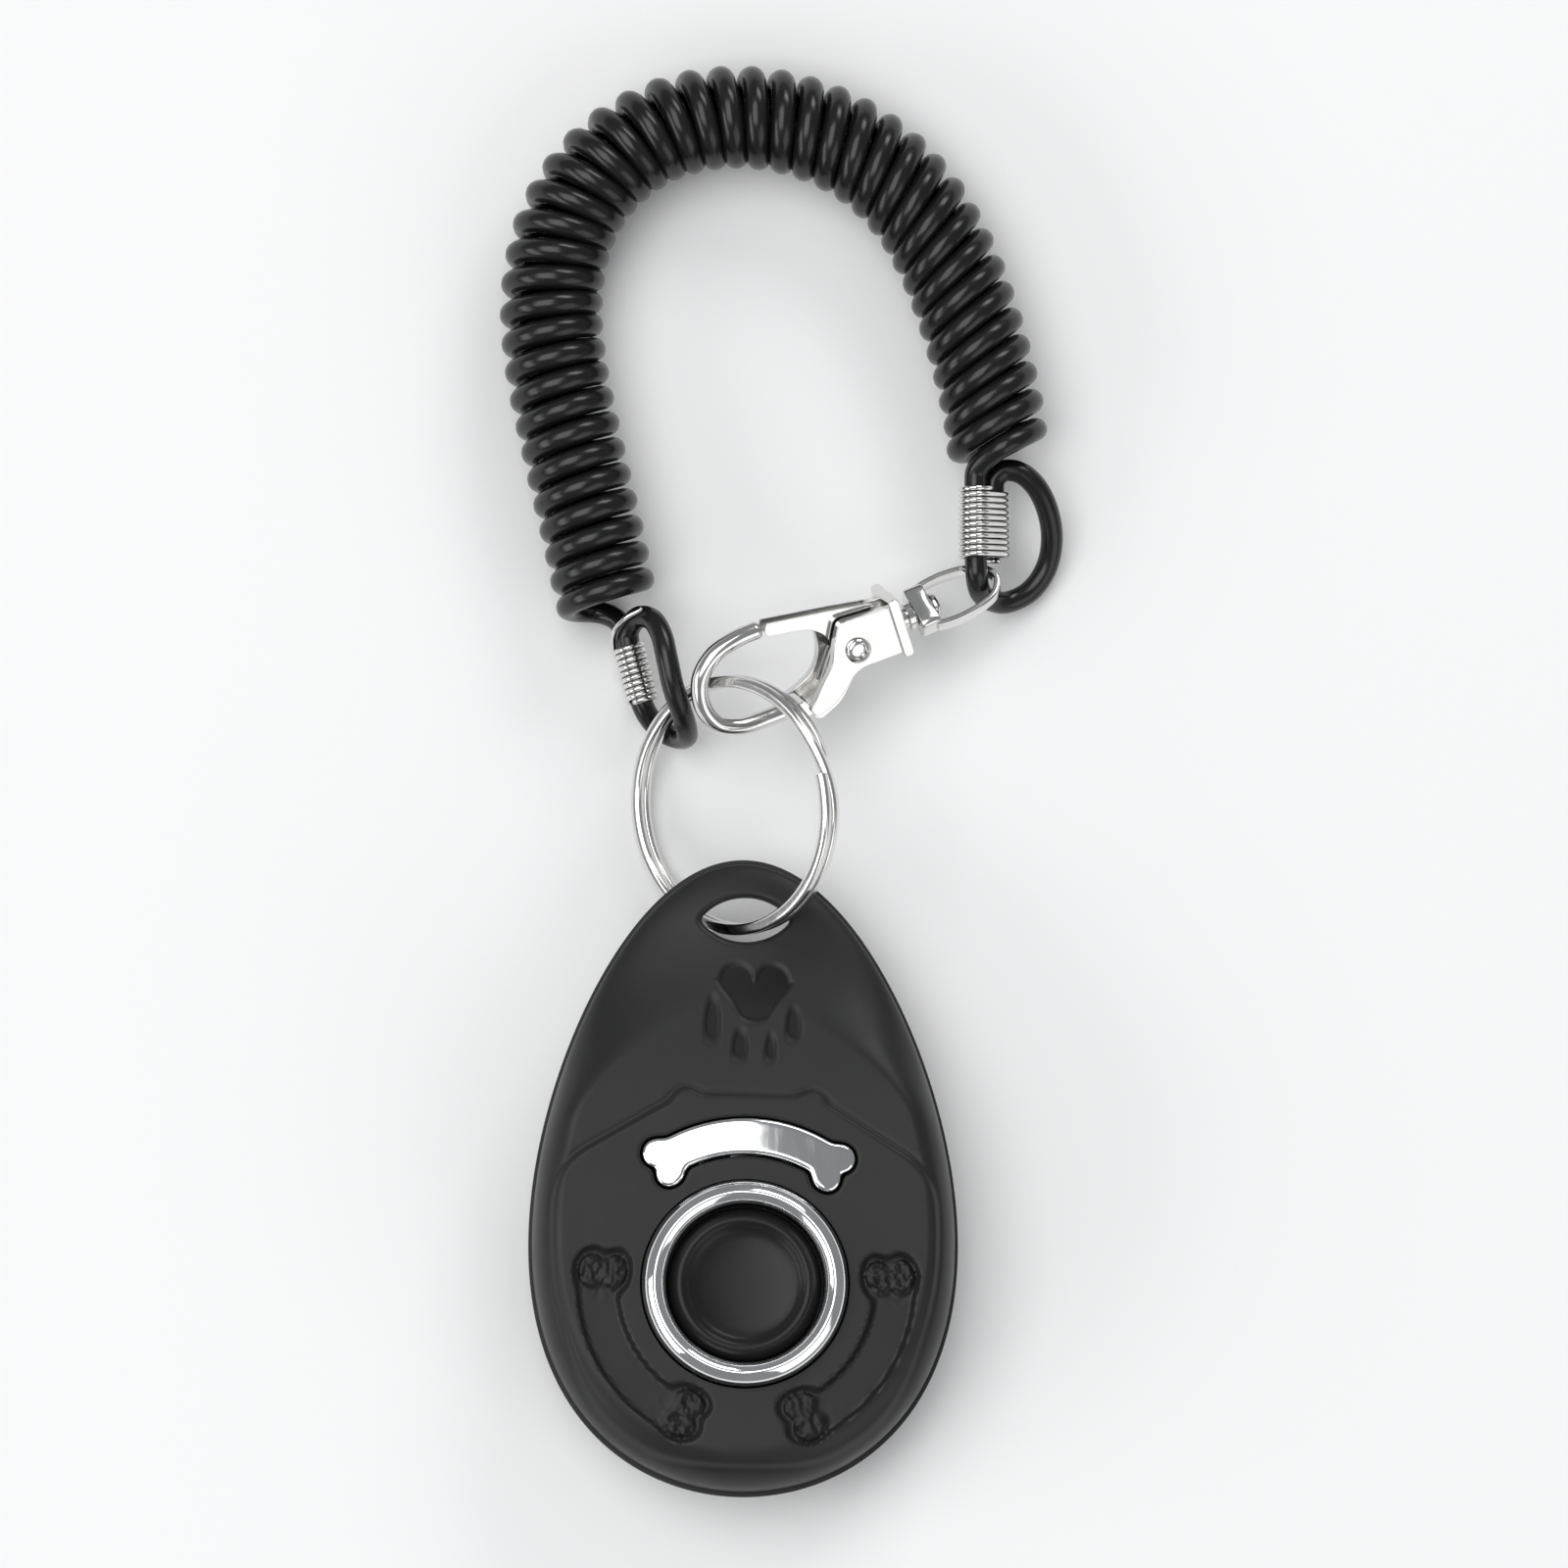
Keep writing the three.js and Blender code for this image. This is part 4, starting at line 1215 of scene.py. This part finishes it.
def add_gate():
    """The gate: an arm with a groove along its outside, and the thumb lever."""
    half, inner = 1.0, 0.7
    arm = [plate(GATE_ARM, -half, -inner), plate(GATE_ARM, inner, half), plate(GATE_WEB, -inner, inner)]
    lever = plate(GATE_LEVER, -half, half)
    grips = []
    for step in range(3):
        place = Vector((8.9 + step * 0.8, -5.5 - step * 0.3, 0))
        ends = [place + Vector((0, 0, -0.85)), place + Vector((0, 0, 0.85))]
        grips.append(tube([ends[0], (ends[0] + ends[1]) / 2, ends[1]], 0.2, (1, 0, 0), 10))
    bevel(hook_piece("hook_gate", [*arm, lever], "gate", ["clasp_gate"]), 0.08)
    hook_piece("hook_gate_ribs", grips, "gate", [])


def add_gate_spring():
    """A torsion spring beside the gate's hub, with one leg in the hook's back."""
    line = []
    turns, radius = 1.2, 1.4
    for step in range(49):
        angle = radians(36) - 2 * pi * turns * (1 - step / 48)
        line.append(Vector((radius * cos(angle), radius * sin(angle), 0.45 + 0.5 * step / 48)))
    angle = radians(-54)
    ahead = Vector((cos(angle), sin(angle), 0))
    leg_start = line[-1]
    line.extend([leg_start + ahead * distance for distance in (0.8, 2.0, 3.5, 4.8)])
    line = [point + Vector((*RIVET, 0)) for point in line]
    wire = tube(line, 0.2, (0, 0, 1), 10)
    hook_piece("hook_spring", [wire], "hook", ["gate_spring"], "spring_steel")


def add_rivet():
    """The gate's rivet: a ring-edged dimple at each end."""
    head = [(0.0, 2.0), (0.55, 2.05), (0.68, 2.3), (0.74, 2.75), (0.86, 2.93), (1.05, 2.98), (1.25, 2.88),
            (1.34, 2.7), (1.34, 2.35)]
    profile = [(0.0, -2.0)] + [(radius, -height) for radius, height in head[1:]]
    profile += [(0.8, -2.3), (0.8, 2.3)] + head[1:][::-1] + [(0.0, 2.0)]
    hook_piece("hook_rivet", [turned(profile, 48, RIVET)], "hook", ["clasp_rivet"])


def bored_block(start, end, half_width, half_height, bore, facets=64):
    """A block across the hook's length, with rounded corners and the stud's bore through it."""
    points = []
    for cosine, sine in circle_steps(facets):
        edge = (abs(cosine / half_width) ** 7 + abs(sine / half_height) ** 7) ** (-1 / 7)
        loop = [(start, bore), (end, bore), (end, edge - 0.22), (end - 0.06, edge - 0.07), (end - 0.2, edge),
                (start + 0.2, edge), (start + 0.06, edge - 0.07), (start, edge - 0.22)]
        points.extend((x, radius * cosine, radius * sine) for x, radius in loop)
    return points, ring_skin(facets, len(loop))


def add_eye():
    """The swivel eye: a stirrup of flat strap with a thick base that turns on the stud."""
    turn = Matrix.Rotation(EYE_TURN, 4, "X")
    base = bored_block(-3.8, -1.7, 2.55, 1.3, 1.05)
    one_side = [(-3.4, 2.45, 0), (-4.4, 2.62, 0), (-6.2, 2.7, 0), (-8.6, 2.35, 0), (-10.4, 1.6, 0)]
    other_side = [(x, -y, z) for x, y, z in one_side[::-1]]
    bow_line = curve_through([*one_side, (-11.3, 0, 0), *other_side], 12)
    bow = swept(bow_line, frames_along(bow_line, (0, 0, 1)), rounded_section(0.72, 0.36, 0.24))
    hook_piece("eye_bow", [moved(bow, turn), moved(base, turn)], "eye", ["swivel_eye"])


add_hook_body()
add_gate()
add_gate_spring()
add_rivet()
add_eye()


# ---- screws and inner pieces

def add_case_screw(side):
    """A pan-head screw with a cross recess, its head towards the back."""
    spec = SCREWS[side]
    x, y, head, radius = spec["x"], spec["y"], spec["head"], SCREW_HEAD_RADIUS
    profile = [(0.0, head + 0.05), (1.0, head + 0.05), (1.6, head + 0.2), (radius, head + 0.6),
               (radius, head + 1.2), (1.1, head + 1.5), (1.1, spec["tip"] - 0.9), (0.0, spec["tip"])]
    part = turned(profile, 40, (x, y))
    screw = add_solid(f"screw_{side}", part, "case", [f"case_screw_{side}"], "spring_steel")
    long, short = SCREW_RECESS
    for half_x, half_y in ((long, short), (short, long)):
        outline = [(x + side_x * half_x, y + side_y * half_y) for side_x, side_y in SQUARE]
        arm = prism(outline, head - 0.5, head + 0.75)
        cutter = new_object("cutter", mesh_from("cutter", *arm))
        cut = screw.modifiers.new("recess", "BOOLEAN")
        cut.object = cutter
        bpy.context.view_layer.update()
        shaped = bpy.data.meshes.new_from_object(screw.evaluated_get(bpy.context.evaluated_depsgraph_get()))
        screw.modifiers.clear()
        screw.data = shaped
        bpy.data.objects.remove(cutter)


for screw_side in SCREWS:
    add_case_screw(screw_side)


# The inner pieces stay as the CAD has them, each with the look of its slot.
for node, node_slot in [("click_plate", "spring_steel"), ("plate_clamp", "case_plastic"),
                        ("plate_screw", "spring_steel")]:
    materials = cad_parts[node].data.materials
    materials.clear()
    materials.append(LOOKS[node_slot])
